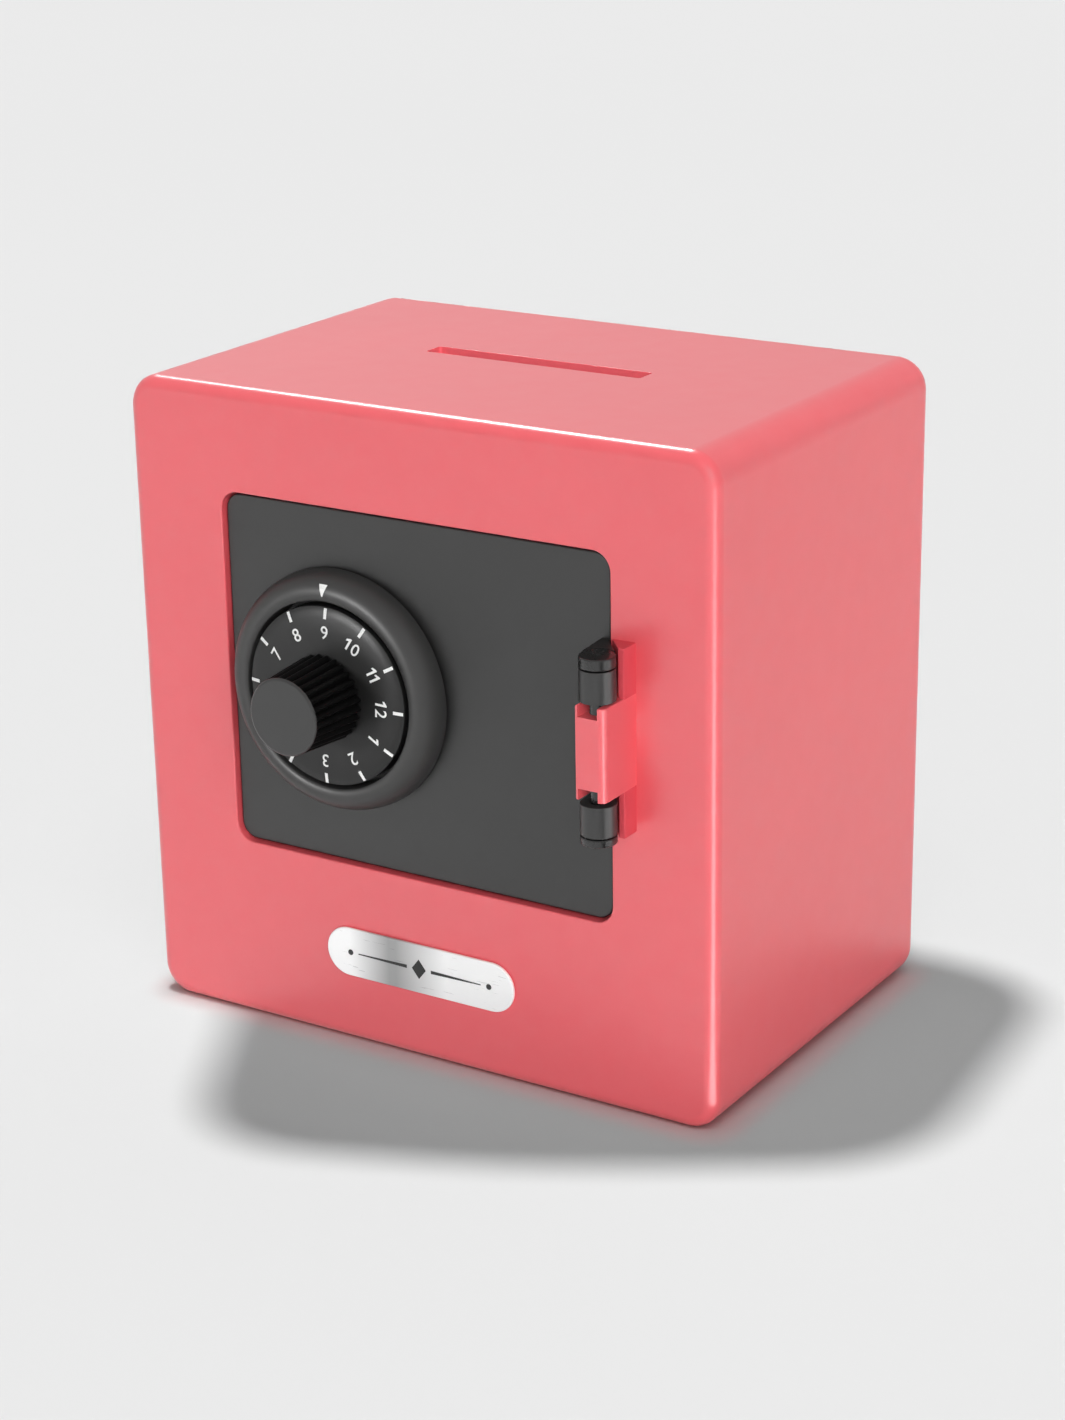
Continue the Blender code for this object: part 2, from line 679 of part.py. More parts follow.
def build_housing(door_axis):
    """A cup screwed to the back of the door over the wheels, slotted for the keeper."""
    centre = (DIAL_X, DIAL_Z)
    housing = add_piece("lock_housing", housing_shell(), BLACK, door_axis)
    for angle in EAR_ANGLES:
        turn = math.radians(angle)
        arm = block(
            (HOUSING_RADIUS - HOUSING_WALL / 2, EAR_Y[0], -EAR_RADIUS),
            (EAR_REACH, EAR_Y[1], EAR_RADIUS),
        )
        arm.transform(
            Matrix.Translation((DIAL_X, 0, DIAL_Z)) @ Matrix.Rotation(-turn, 4, "Y")
        )
        join(housing, arm)
    for spot in ear_centres():
        join(housing, rod(spot, EAR_RADIUS, *EAR_Y, BOSS_SIDES))
    inner = HOUSING_RADIUS - HOUSING_WALL
    cut(housing, rod(centre, inner, HOUSING_FRONT - OVERLAP, HOUSING_REAR - HOUSING_WALL, FINE_SIDES))
    cut(
        housing,
        rod(centre, SPINDLE_RADIUS + BORE_GAP, HOUSING_REAR - 2 * HOUSING_WALL, HOUSING_REAR + OVERLAP),
    )
    slot_low = (DIAL_X - HOUSING_RADIUS - OVERLAP, HOUSING_FRONT - OVERLAP, DIAL_Z - HOUSING_SLOT_HALF)
    slot_high = (DIAL_X - NOTCH_BOTTOM, HOUSING_REAR + OVERLAP, DIAL_Z + HOUSING_SLOT_HALF)
    cut(housing, block(slot_low, slot_high))
    names = ("right", "upper", "lower")
    for name, spot in zip(names, ear_centres()):
        cut(housing, rod(spot, SCREW_CLEARANCE, EAR_Y[0] - OVERLAP, EAR_Y[1] + OVERLAP, SCREW_SIDES))
        screw(
            f"housing_screw_{name}",
            spot,
            EAR_Y[1] + JOIN_GAP,
            HOUSING_SCREW_TIP,
            door_axis,
        )


def keyed_bore(piece, front, rear):
    """A D-shaped hole that grips the flat of the spindle."""
    radius = SPINDLE_RADIUS + BORE_GAP
    flat = SPINDLE_FLAT + BORE_GAP
    outline = [(x, min(z, flat)) for x, z in circle(radius)]
    cut(piece, slab(outline, front, rear, (DIAL_X, DIAL_Z)))


def build_dial_disc(dial_axis):
    profile = [
        (DIAL_RADIUS, DIAL_REAR),
        (DIAL_RADIUS, DIAL_FRONT + DIAL_DISH),
        (DIAL_RADIUS * 0.8, DIAL_FRONT + DIAL_DISH * 0.25),
        (DIAL_RADIUS * 0.5, DIAL_FRONT),
    ]
    disc = add_piece(
        "dial_disc", turned(profile, (DIAL_X, DIAL_Z), FINE_SIDES), CHARCOAL, dial_axis
    )
    keyed_bore(disc, DIAL_FRONT - OVERLAP, DIAL_REAR + OVERLAP)


def build_knob(dial_axis):
    count = 2 * KNOB_FLUTES

    def flute(i):
        return -KNOB_FLUTE_DEPTH if i % 2 else 0.0

    profile = [
        (KNOB_BASE_RADIUS, KNOB_BACK),
        (KNOB_TIP_RADIUS, KNOB_FACE + KNOB_CHAMFER),
        (KNOB_TIP_RADIUS - KNOB_CHAMFER, KNOB_FACE),
    ]
    knob = add_piece(
        "knob", turned(profile, (DIAL_X, DIAL_Z), count, flute), BLACK, dial_axis
    )
    keyed_bore(knob, SPINDLE_FRONT - JOIN_GAP, KNOB_BACK + OVERLAP)


def build_spindle(dial_axis):
    """A round shaft with a flat along the keyed stretch, tapped at its rear end."""
    centre = (DIAL_X, DIAL_Z)
    spindle = add_piece(
        "spindle",
        rod(centre, SPINDLE_RADIUS, SPINDLE_FRONT, SPINDLE_REAR),
        STEEL,
        dial_axis,
    )
    keyed_end = WHEEL_FRONT + WHEEL_THICKNESS
    flat = block(
        (DIAL_X - 2 * SPINDLE_RADIUS, SPINDLE_FRONT - OVERLAP, DIAL_Z + SPINDLE_FLAT),
        (DIAL_X + 2 * SPINDLE_RADIUS, keyed_end, DIAL_Z + 2 * SPINDLE_RADIUS),
    )
    cut(spindle, flat)
    cut(spindle, rod(centre, SCREW_PILOT, SPINDLE_REAR - SPINDLE_HOLE, SPINDLE_REAR + OVERLAP, PILOT_SIDES))


def build_washers(dial_axis):
    """A felt drag ring in front of the door and a steel washer behind the housing."""
    centre = (DIAL_X, DIAL_Z)
    drag = add_piece(
        "drag_ring",
        rod(centre, DRAG_RING_RADIUS, DIAL_REAR + JOIN_GAP, DOOR_FRONT - JOIN_GAP),
        FELT,
        dial_axis,
    )
    cut(
        drag,
        rod(centre, SPINDLE_RADIUS + BORE_GAP, DIAL_REAR - OVERLAP, DOOR_FRONT + OVERLAP),
    )
    front = SPINDLE_REAR + JOIN_GAP
    rear = front + WASHER_THICKNESS
    washer = add_piece(
        "spindle_washer", rod(centre, WASHER_RADIUS, front, rear), STEEL, dial_axis
    )
    cut(washer, rod(centre, SCREW_CLEARANCE, front - OVERLAP, rear + OVERLAP, SCREW_SIDES))
    screw(
        "spindle_screw",
        centre,
        rear + JOIN_GAP,
        SPINDLE_REAR - SPINDLE_SCREW_GRIP,
        dial_axis,
    )


def wheel_outline():
    """A disc with one square notch towards the keeper."""
    edge = math.asin(NOTCH_HALF / WHEEL_RADIUS)
    steps = 56
    start = math.pi + edge
    sweep = 2 * math.pi - 2 * edge
    points = []
    for step in range(steps + 1):
        angle = start + sweep * step / steps
        points.append((WHEEL_RADIUS * math.cos(angle), WHEEL_RADIUS * math.sin(angle)))
    return points + [(-NOTCH_BOTTOM, NOTCH_HALF), (-NOTCH_BOTTOM, -NOTCH_HALF)]


def tab(angle, front, rear):
    """A drive tab standing off a wheel at this angle round the axis."""
    mesh = block(
        (TAB_RADIUS - TAB_SIZE / 2, front, -TAB_SIZE / 2),
        (TAB_RADIUS + TAB_SIZE / 2, rear, TAB_SIZE / 2),
    )
    mesh.transform(Matrix.Translation((DIAL_X, 0, DIAL_Z)) @ Matrix.Rotation(-angle, 4, "Y"))
    return mesh


def build_wheel(name, number, driven_at, drives_at, axis):
    """Wheel `number` from the front, with a tab for the wheel before it and one for the next."""
    centre = (DIAL_X, DIAL_Z)
    front = WHEEL_FRONT + number * WHEEL_PITCH
    rear = front + WHEEL_THICKNESS
    wheel = add_piece(
        name, slab(wheel_outline(), front, rear, centre), BRASS, axis
    )
    join(wheel, rod(centre, WHEEL_HUB_RADIUS, front - WHEEL_HUB_LENGTH, rear - OVERLAP))
    if driven_at is not None:
        join(wheel, tab(driven_at - TAB_ANGLE, front - TAB_LENGTH, front + OVERLAP))
    if drives_at is not None:
        join(wheel, tab(drives_at + TAB_ANGLE, rear - OVERLAP, rear + TAB_LENGTH))
    hub_front = front - WHEEL_HUB_LENGTH - OVERLAP
    if number == 0:
        keyed_bore(wheel, hub_front, rear + OVERLAP)
    else:
        cut(wheel, rod(centre, SPINDLE_RADIUS + BORE_GAP, hub_front, rear + OVERLAP))


def build_wheels(dial_axis, middle_axis, rear_axis):
    top = math.pi / 2
    bottom = -math.pi / 2
    build_wheel("drive_wheel", 0, None, top, dial_axis)
    build_wheel("tumbler_wheel_middle", 1, top, bottom, middle_axis)
    build_wheel("tumbler_wheel_rear", 2, bottom, None, rear_axis)


def build_bank():
    build_shell()
    build_rear_cover()
    build_name_plate()
    build_keeper()
    build_hinge_pins()
    door_axis = make_empty("door_axis", (HINGE_X, HINGE_Y, OPENING_Z))
    build_door(door_axis)
    build_bezel(door_axis)
    build_housing(door_axis)
    centre = (DIAL_X, DIAL_FRONT, DIAL_Z)
    dial_axis = make_empty("dial_axis", centre, door_axis)
    middle_axis = make_empty("middle_wheel_axis", centre, door_axis)
    rear_axis = make_empty("rear_wheel_axis", centre, door_axis)
    build_dial_disc(dial_axis)
    build_knob(dial_axis)
    build_spindle(dial_axis)
    build_washers(dial_axis)
    build_wheels(dial_axis, middle_axis, rear_axis)


clear_scene()
build_bank()
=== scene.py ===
"""Looks for the toy safe coin bank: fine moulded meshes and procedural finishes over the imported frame."""

import json
import math

import bmesh
import bpy
from mathutils import Matrix, Vector

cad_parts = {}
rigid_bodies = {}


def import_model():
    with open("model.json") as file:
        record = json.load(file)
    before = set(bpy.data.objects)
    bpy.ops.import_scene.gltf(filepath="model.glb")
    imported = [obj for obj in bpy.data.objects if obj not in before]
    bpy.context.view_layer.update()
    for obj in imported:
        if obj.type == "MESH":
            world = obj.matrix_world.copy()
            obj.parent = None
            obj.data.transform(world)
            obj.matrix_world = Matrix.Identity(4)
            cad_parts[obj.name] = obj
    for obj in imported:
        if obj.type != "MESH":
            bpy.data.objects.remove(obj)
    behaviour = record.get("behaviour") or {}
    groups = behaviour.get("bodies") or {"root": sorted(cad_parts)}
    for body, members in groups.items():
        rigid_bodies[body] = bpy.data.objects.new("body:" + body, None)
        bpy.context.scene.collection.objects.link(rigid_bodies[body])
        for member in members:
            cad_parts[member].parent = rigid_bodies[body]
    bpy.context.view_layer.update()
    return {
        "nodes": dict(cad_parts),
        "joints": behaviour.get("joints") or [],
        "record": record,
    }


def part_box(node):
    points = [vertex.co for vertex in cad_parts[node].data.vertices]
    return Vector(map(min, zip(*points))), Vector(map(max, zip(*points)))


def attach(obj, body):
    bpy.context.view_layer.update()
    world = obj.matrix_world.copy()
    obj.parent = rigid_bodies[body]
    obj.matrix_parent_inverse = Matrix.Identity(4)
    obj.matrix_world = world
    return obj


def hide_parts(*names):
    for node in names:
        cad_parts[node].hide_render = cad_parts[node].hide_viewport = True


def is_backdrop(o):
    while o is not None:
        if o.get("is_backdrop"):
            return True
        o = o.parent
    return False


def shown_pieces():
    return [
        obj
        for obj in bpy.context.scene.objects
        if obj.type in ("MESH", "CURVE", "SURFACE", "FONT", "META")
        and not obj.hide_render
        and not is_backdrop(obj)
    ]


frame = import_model()

MM = 0.001
FINE = 128
ARC = 10

JOINTS = {joint["name"]: joint for joint in frame["joints"]}
HINGE_X, HINGE_Y, _ = JOINTS["door_swing"]["pos_m"]
DIAL_X, _, DIAL_Z = JOINTS["dial_turn"]["pos_m"]
DIAL_CENTRE = (DIAL_X, DIAL_Z)

# Body shell
SHELL_LOW, SHELL_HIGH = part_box("body_shell")
HALF_WIDTH = SHELL_HIGH.x
REAR_Y = SHELL_HIGH.y
FRONT_Y = -REAR_Y
TOP_Z = SHELL_HIGH.z
MID_Z = TOP_Z / 2
WALL = 2.5 * MM
REAR_WALL = 5.0 * MM
CORNER_RADIUS = 5.8 * MM
FRONT_FILLET = 2.4 * MM
REAR_FILLET = 4.0 * MM
OPENING_LIP = 0.3 * MM
COVER_REBATE = (98 * MM, 6 * MM)
COVER_REBATE_RIM = (98.4 * MM, 6.2 * MM)
COVER_OPENING = (90 * MM, 12 * MM)

# Coin slot
SLOT_LENGTH = 45 * MM
SLOT_WIDTH = 4.6 * MM
SLOT_Y = 2.2 * MM
SLOT_END = 0.5 * MM
SLOT_ROUND = 0.06 * MM
SLOT_MARGIN = 0.3 * MM

# Door and its opening
DOOR_LOW, DOOR_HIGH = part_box("door_panel")
DOOR_GAP = 0.4 * MM
DOOR_FRONT = FRONT_Y + 1.0 * MM
DOOR_REAR = DOOR_FRONT + 2.5 * MM
DOOR_BOSS_END = -31.5 * MM
OPENING_WIDTH = 2 * (DOOR_GAP - DOOR_LOW.x)
OPENING_HEIGHT = DOOR_HIGH.z - DOOR_LOW.z + 2 * DOOR_GAP
OPENING_Z = (DOOR_HIGH.z + DOOR_LOW.z) / 2
OPENING_RADIUS = 3.5 * MM
STOP_LAP = 2.0 * MM
STOP_RIM = 4.0 * MM
STOP_FRONT = DOOR_REAR + 0.3 * MM
STOP_REAR = STOP_FRONT + 2.0 * MM
STOP_BREAK = 24 * MM

# Hinge
BARREL_RADIUS = 3.15 * MM
HEAD_GAP = 0.2 * MM
ARM_FOOT_LEFT = 37.8 * MM
ARM_FOOT_RIGHT = 39.5 * MM
ARM_CLEAR_X = 39.7 * MM
HEAD_RECESS = BARREL_RADIUS + 0.15 * MM
UPPER_KNUCKLE = (78.2 * MM, 83.8 * MM)
LOWER_KNUCKLE = (54.75 * MM, 60.3 * MM)
ARM_SPAN = (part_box("hinge_pin_lower")[0].z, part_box("hinge_pin_upper")[1].z)
PIN_RADIUS = 1.3 * MM
PIN_RUNNING_GAP = 0.1 * MM
LUG_LEFT = 39.3 * MM
LUG_RIGHT = 44.9 * MM
LUG_SPAN = (61.4 * MM, 77.9 * MM)
LUG_ROUND = 1.3 * MM
LUG_INNER_ROUND = 0.3 * MM
NOTCH_WIDTH = 3.8 * MM
NOTCH_HEIGHT = 2.0 * MM
NOTCH_BACK = HINGE_Y + PIN_RADIUS + 0.8 * MM
STRIP_SPAN = (53.2 * MM, 86.5 * MM)
STRIP_FRONT = -43.9 * MM
STRIP_RIGHT = LUG_RIGHT - 0.02 * MM
STRIP_ARM_GAP = 0.7 * MM
STRIP_ROUND = 0.2 * MM

# Dial: bezel, disc, knob and their print
BEZEL_LOW, BEZEL_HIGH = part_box("dial_bezel")
BEZEL_RADIUS = (BEZEL_HIGH.x - BEZEL_LOW.x) / 2
BEZEL_BORE = 17.2 * MM
BEZEL_CREST_RADIUS = 18.5 * MM
BEZEL_CREST = BEZEL_HIGH.y - BEZEL_LOW.y
BEZEL_WALL = 0.9 * MM
BEZEL_LIP = 4.7 * MM
BEZEL_GROOVE_DEPTH = 0.5 * MM
BEZEL_GROOVE_HEIGHT = 0.35 * MM
DISC_LOW, DISC_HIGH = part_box("dial_disc")
DISC_RADIUS = (DISC_HIGH.x - DISC_LOW.x) / 2
DISC_BORE = 2.5 * MM
DISC_DISH = 0.5 * MM
DISC_FLAT = 0.7
INK = 0.03 * MM
DIGIT_HEIGHT = 2.35 * MM
DIGIT_RING = 11.9 * MM
TICK_SPAN = (14.35 * MM, 16.25 * MM)
TICK_HALVES = (0.3 * MM, 0.3 * MM)
POINTER_SPAN = (18.3 * MM, 20.35 * MM)
POINTER_HALVES = (0.1 * MM, 0.88 * MM)
HOURS = 12
FIRST_HOUR = 9
DIAL_LEAD = 2.0
KNOB_BASE = 7.9 * MM
KNOB_TIP = 7.1 * MM
KNOB_RIM = 0.6 * MM
KNOB_FLUTES = 28
KNOB_FLUTE_DEPTH = 0.9 * MM

# Lock behind the door
RUNNING_BORE = 2.52 * MM
SPINDLE_RADIUS = 2.4 * MM
SPINDLE_BORE = 1.1 * MM
WHEEL_RADIUS = 16.8 * MM
WHEEL_THICKNESS = 2.0 * MM
WHEEL_FRONT = -34.3 * MM
WHEEL_PITCH = 4.0 * MM
NOTCH_HALF = 3.2 * MM
NOTCH_BOTTOM = 10.3 * MM
HUB_RADIUS = 4.6 * MM
HUB_LENGTH = 1.8 * MM
TAB_START = 6.5 * MM
TAB_END = 8.9 * MM
TAB_HALF = 1.2 * MM
TAB_LENGTH = 1.5 * MM
TAB_LEAD = math.radians(11.5)
STAMP_RING = 12.4 * MM
STAMP_RADII = (1.5 * MM, 1.25 * MM)
STAMP_ANGLES = (0.9, 2.2, 4.1, 5.4)
HOUSING_RADIUS = 19.2 * MM
HOUSING_BORE = 17.6 * MM
HOUSING_FLOOR = 1.6 * MM
HOUSING_EDGE = 0.6 * MM
HOUSING_SLOT_HALF = 3.4 * MM
EAR_REACH = 22.3 * MM
EAR_RADIUS = 3.0 * MM
EAR_ROOT = HOUSING_RADIUS - 0.8 * MM
EAR_DEPTHS = (-31.3 * MM, -29.3 * MM)
KEEPER_BASE = (-30.0 * MM, -27.5 * MM)
KEEPER_BASE_WIDTH = 8 * MM
KEEPER_BOLT_X = -50.5 * MM
KEEPER_BOLT_Z = 11 * MM
KEEPER_HALF = 2.2 * MM
FINGER_ROOT = -41.5 * MM
FINGER_THICKNESS = 1.2 * MM
FINGERS = 3

# Screws and what they go through
SCREW_CLEARANCE = 1.3 * MM
SCREW_PILOT = 1.1 * MM
SCREW_SHANK = 1.0 * MM
SCREW_HEAD = 1.4 * MM
SCREW_HEAD_WALL = 0.55 * MM
RECESS_LENGTH = 2.3 * MM
RECESS_WIDTH = 0.5 * MM
RECESS_DEPTH = 0.75 * MM
BOSS_RADIUS = 3.2 * MM
COVER_SCREWS = ("top_left", "top_right", "bottom_left", "bottom_right")

# Studio: light levels, and each sun as direction, strength and spread in degrees
WORLD_LIGHT = 0.27
WORLD_SHINE = 0.70
FLOOR_SIZE = 12
FLOOR_GREYS = (0.765, 0.775)
FLOOR_SHINE = (0.28, 0.0)
BOUNCE_REACH = 6 * MM
BOUNCE_GREY = (0.34, 0.34, 0.34, 1)
FRONT_RIGHT = (0.64, -0.67, 0.37)
KEY = ((-0.277, 0.143, 0.950), 1.65, 5)
FILL = (FRONT_RIGHT, 0.80, 40)
SLOT_FILL = (FRONT_RIGHT, 1.45, 40)
OVERHEAD = ((0, 0, 1), 2.2, 5)
FLOOR_FILL = ((0.3, -0.4, 0.866), 0.38, 30)
EDGE_SHINE = ((-0.506, 0.445, 0.738), 1.8, 10)
HINGE_SHINE = ((0.94, 0.04, -0.33), 1.6, 14)
DIAL_SOFTBOX = ((-0.36, -0.92, 0.14), 90 * MM, 2.4)
SOFTBOX_DISTANCE = 0.6
CORNER_GLOW = 5.5
SHADE_HEIGHT = 150 * MM
SHADE_ROUND = 22 * MM
SHADE_PLAN = ((-46, -34), (-17, -88), (39, -66), (95, -31), (87, 47), (40, 47))


# ---- outlines

def rounded_rectangle(width, height, radius, steps=ARC, centre=(0, 0)):
    points = []
    for quarter, (sx, sy) in enumerate(((1, 1), (-1, 1), (-1, -1), (1, -1))):
        middle_x = centre[0] + sx * (width / 2 - radius)
        middle_y = centre[1] + sy * (height / 2 - radius)
        for step in range(steps + 1):
            angle = math.pi / 2 * (quarter + step / steps)
            points.append((middle_x + radius * math.cos(angle), middle_y + radius * math.sin(angle)))
    return points


def quarter(steps, first=0):
    """Sine and cosine at even steps over a right angle."""
    for step in range(first, steps + 1):
        angle = math.pi / 2 * step / steps
        yield math.sin(angle), math.cos(angle)


def circle(radius, centre=(0, 0), count=FINE):
    turn = [2 * math.pi * i / count for i in range(count)]
    return [(centre[0] + radius * math.cos(a), centre[1] + radius * math.sin(a)) for a in turn]


def arc(centre, radius, start, end, steps=ARC):
    points = []
    for step in range(steps + 1):
        angle = start + (end - start) * step / steps
        points.append((centre[0] + radius * math.cos(angle), centre[1] + radius * math.sin(angle)))
    return points


def signed_area(points):
    return sum(a[0] * b[1] - b[0] * a[1] for a, b in zip(points, points[1:] + points[:1])) / 2


def shifted(points, distance):
    """The closed outline moved to its left by `distance`, which is inwards when it runs anticlockwise."""
    moved = []
    count = len(points)
    for i, point in enumerate(points):
        before = Vector(points[i - 1])
        here = Vector(point)
        after = Vector(points[(i + 1) % count])
        first = (here - before).normalized()
        second = (after - here).normalized()
        normal = Vector((-first.y - second.y, first.x + second.x))
        if normal.length < 1e-9:
            moved.append(point)
            continue
        normal.normalize()
        stretch = max(0.3, normal.dot(Vector((-first.y, first.x))))
        moved.append(tuple(here + normal * (distance / stretch)))
    return moved


# ---- meshes

def skin(rings, mesh=None, loop=False):
    """Quads between rings of equal point counts; `loop` joins the last ring to the first."""
    mesh = mesh or bmesh.new()
    rows = [[mesh.verts.new(point) for point in ring] for ring in rings]
    pairs = list(zip(rows, rows[1:]))
    if loop:
        pairs.append((rows[-1], rows[0]))
    for row, following in pairs:
        for i in range(len(row)):
            j = (i + 1) % len(row)
            mesh.faces.new((row[i], row[j], following[j], following[i]))
    return mesh, rows


def capped(rings):
    mesh, rows = skin(rings)
    mesh.faces.new(rows[0])
    mesh.faces.new(rows[-1])
    return mesh


PLANES = {
    "Y": lambda u, v, depth: (u, depth, v),
    "Z": lambda u, v, depth: (u, v, depth),
}


def axis_of(name):
    """Where the axis of a turned node that lies along Y crosses the XZ plane."""
    low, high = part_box(name)
    return (low.x + high.x) / 2, (low.z + high.z) / 2


def about_dial(mesh, angle):
    """The mesh, drawn round the origin, turned by the angle and moved to the dial's axis."""
    mesh.transform(Matrix.Translation((DIAL_X, 0, DIAL_Z)) @ Matrix.Rotation(-angle, 4, "Y"))
    return mesh


def round_over(low, high, edge_low, edge_high, steps=4):
    """(inset, depth) pairs down a wall whose two rims are rounded."""
    pairs = [(edge_low * (1 - sine), low + edge_low * (1 - cosine)) for sine, cosine in quarter(steps)]
    for sine, cosine in quarter(steps):
        pairs.append((edge_high * (1 - cosine), high - edge_high * (1 - sine)))
    return pairs


def plate(loops, low, high, edge, plane="Y", edge_high=None):
    """A flat part from an outline and its holes, every rim rounded."""
    place = PLANES[plane]
    mesh = bmesh.new()
    caps = ([], [])
    for number, loop in enumerate(loops):
        outward = signed_area(loop) > 0
        if outward != (number == 0):
            loop = loop[::-1]
        rings = []
        for inset, depth in round_over(low, high, edge, edge if edge_high is None else edge_high):
            rings.append([place(u, v, depth) for u, v in shifted(loop, inset)])
        _, rows = skin(rings, mesh)
        for cap, row in zip(caps, (rows[0], rows[-1])):
            cap.extend(mesh.edges.get((row[i - 1], row[i])) for i in range(len(row)))
    for cap in caps:
        bmesh.ops.triangle_fill(mesh, use_beauty=True, use_dissolve=False, edges=cap)
    return mesh


def rounded_box(low, high, edge):
    middle = ((low[0] + high[0]) / 2, (low[2] + high[2]) / 2)
    outline = rounded_rectangle(high[0] - low[0], high[2] - low[2], edge, 3, middle)
    return plate([outline], low[1], high[1], edge)


def lathe(profile, centre, plane="Y", count=FINE, loop=False, reach=None):
    """Rings round an axis through `centre`; `profile` lists (radius, depth)."""
    place = PLANES[plane]
    rings = []
    for radius, depth in profile:
        ring = []
        for i in range(count):
            angle = 2 * math.pi * i / count
            out = reach(angle, radius, depth) if reach else radius
            ring.append(place(centre[0] + out * math.cos(angle), centre[1] + out * math.sin(angle), depth))
        rings.append(ring)
    if loop:
        return skin(rings, loop=True)[0]
    return capped(rings)


def soften(profile, radius, steps=4):
    """Replaces each inner corner of an open profile by an arc that starts `radius` before it."""
    points = [profile[0]]
    for before, corner, after in zip(profile, profile[1:], profile[2:]):
        here = Vector(corner)
        back = Vector(before) - here
        forth = Vector(after) - here
        size = min(radius, back.length * 0.45, forth.length * 0.45)
        start = here + back.normalized() * size
        end = here + forth.normalized() * size
        for step in range(steps + 1):
            t = step / steps
            points.append(tuple(start * (1 - t) ** 2 + here * (2 * t * (1 - t)) + end * t * t))
    return points + [profile[-1]]


def merged(*meshes):
    whole = bmesh.new()
    for mesh in meshes:
        bmesh.ops.recalc_face_normals(mesh, faces=mesh.faces)
        data = bpy.data.meshes.new("part")
        mesh.to_mesh(data)
        mesh.free()
        whole.from_mesh(data)
        bpy.data.meshes.remove(data)
    return whole


def carve(mesh, *tools):
    """The mesh with each tool cut from it by an exact Boolean."""
    bmesh.ops.recalc_face_normals(mesh, faces=mesh.faces)
    block = wrap("carved", mesh)
    helpers = []
    for tool in tools:
        bmesh.ops.recalc_face_normals(tool, faces=tool.faces)
        helper = wrap("tool", tool)
        modifier = block.modifiers.new("Cut", "BOOLEAN")
        modifier.operation = "DIFFERENCE"
        modifier.solver = "EXACT"
        modifier.object = helper
        helpers.append(helper)
    graph = bpy.context.evaluated_depsgraph_get()
    data = bpy.data.meshes.new_from_object(block.evaluated_get(graph))
    result = bmesh.new()
    result.from_mesh(data)
    for item in [block] + helpers:
        bpy.data.objects.remove(item, do_unlink=True)
    return result


def wrap(name, mesh):
    data = bpy.data.meshes.new(name)
    mesh.to_mesh(data)
    mesh.free()
    item = bpy.data.objects.new(name, data)
    bpy.context.scene.collection.objects.link(item)
    return item


def piece(name, mesh, material, body, slot, *nodes, angle=32):
    """A shown piece that rides a body and stands for CAD nodes; the slot argument is not used."""
    bmesh.ops.recalc_face_normals(mesh, faces=mesh.faces)
    item = wrap(name, mesh)
    item.data.shade_smooth()
    item.data.set_sharp_from_angle(angle=math.radians(angle))
    weighted = item.modifiers.new("Weighted", "WEIGHTED_NORMAL")
    weighted.keep_sharp = True
    weighted.weight = 80
    for one in material if isinstance(material, (list, tuple)) else [material]:
        item.data.materials.append(one)
    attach(item, body)
    if nodes:
        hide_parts(*nodes)
    return item


# ---- materials

class Graph:
    """Short calls for building a node tree."""

    def __init__(self, name):
        self.material = bpy.data.materials.new(name)
        self.material.use_nodes = True
        self.tree = self.material.node_tree
        self.shader = self.tree.nodes["Principled BSDF"]

    def add(self, kind, **inputs):
        node = self.tree.nodes.new(f"ShaderNode{kind}")
        for key, value in inputs.items():
            self.feed(node.inputs[key.replace("_", " ")], value)
        return node

    def feed(self, socket, value):
        if isinstance(value, bpy.types.NodeSocket):
            self.tree.links.new(value, socket)
        else:
            socket.default_value = value

    def set(self, key, value):
        self.feed(self.shader.inputs[key], value)

    def noise(self, place, feature, detail=3.0):
        node = self.add("TexNoise", Vector=place, Scale=1 / feature, Detail=detail)
        return node.outputs["Fac"]

    def span(self, value, low, high, start=0.25, end=0.75):
        node = self.add("MapRange", Value=value)
        node.inputs["From Min"].default_value = start
        node.inputs["From Max"].default_value = end
        node.inputs["To Min"].default_value = low
        node.inputs["To Max"].default_value = high
        return node.outputs["Result"]

    def maths(self, operation, *values):
        node = self.add("Math")
        node.operation = operation
        for socket, value in zip(node.inputs, values):
            self.feed(socket, value)
        return node.outputs[0]

    def times(self, first, second):
        return self.maths("MULTIPLY", first, second)

    def glow(self, strength):
        self.set("Emission Color", (1, 1, 1, 1))
        self.set("Emission Strength", strength)

    def place(self):
        return self.add("TexCoord").outputs["Object"]

    def bump(self, strength, distance, height):
        node = self.add("Bump", Strength=strength, Distance=distance, Height=height)
        self.set("Normal", node.outputs["Normal"])

    def mix(self, factor, first, second):
        node = self.add("Mix")
        node.data_type = "RGBA"
        self.feed(node.inputs["Factor"], factor)
        self.feed(node.inputs["A"], first)
        self.feed(node.inputs["B"], second)
        return node.outputs["Result"]

    def edges(self, radius):
        """1 along a corner sharper than `radius`, 0 on open faces."""
        bevel = self.add("Bevel", Radius=radius)
        bevel.samples = 4
        plain = self.add("NewGeometry")
        dot = self.add("VectorMath")
        dot.operation = "DOT_PRODUCT"
        self.feed(dot.inputs[0], bevel.outputs["Normal"])
        self.feed(dot.inputs[1], plain.outputs["Normal"])
        return self.span(dot.outputs["Value"], 1.0, 0.0, 0.86, 0.99)


def rgba(colour, factor=1.0):
    return (*(min(1.0, c * factor) for c in colour), 1.0)


def neutral_afar(graph, colour):
    """The colour as seen, but grey in the diffuse light that it throws past BOUNCE_REACH."""
    path = graph.add("LightPath")
    distant = graph.maths("GREATER_THAN", path.outputs["Ray Length"], BOUNCE_REACH)
    return graph.mix(graph.times(path.outputs["Is Diffuse Ray"], distant), colour, BOUNCE_GREY)


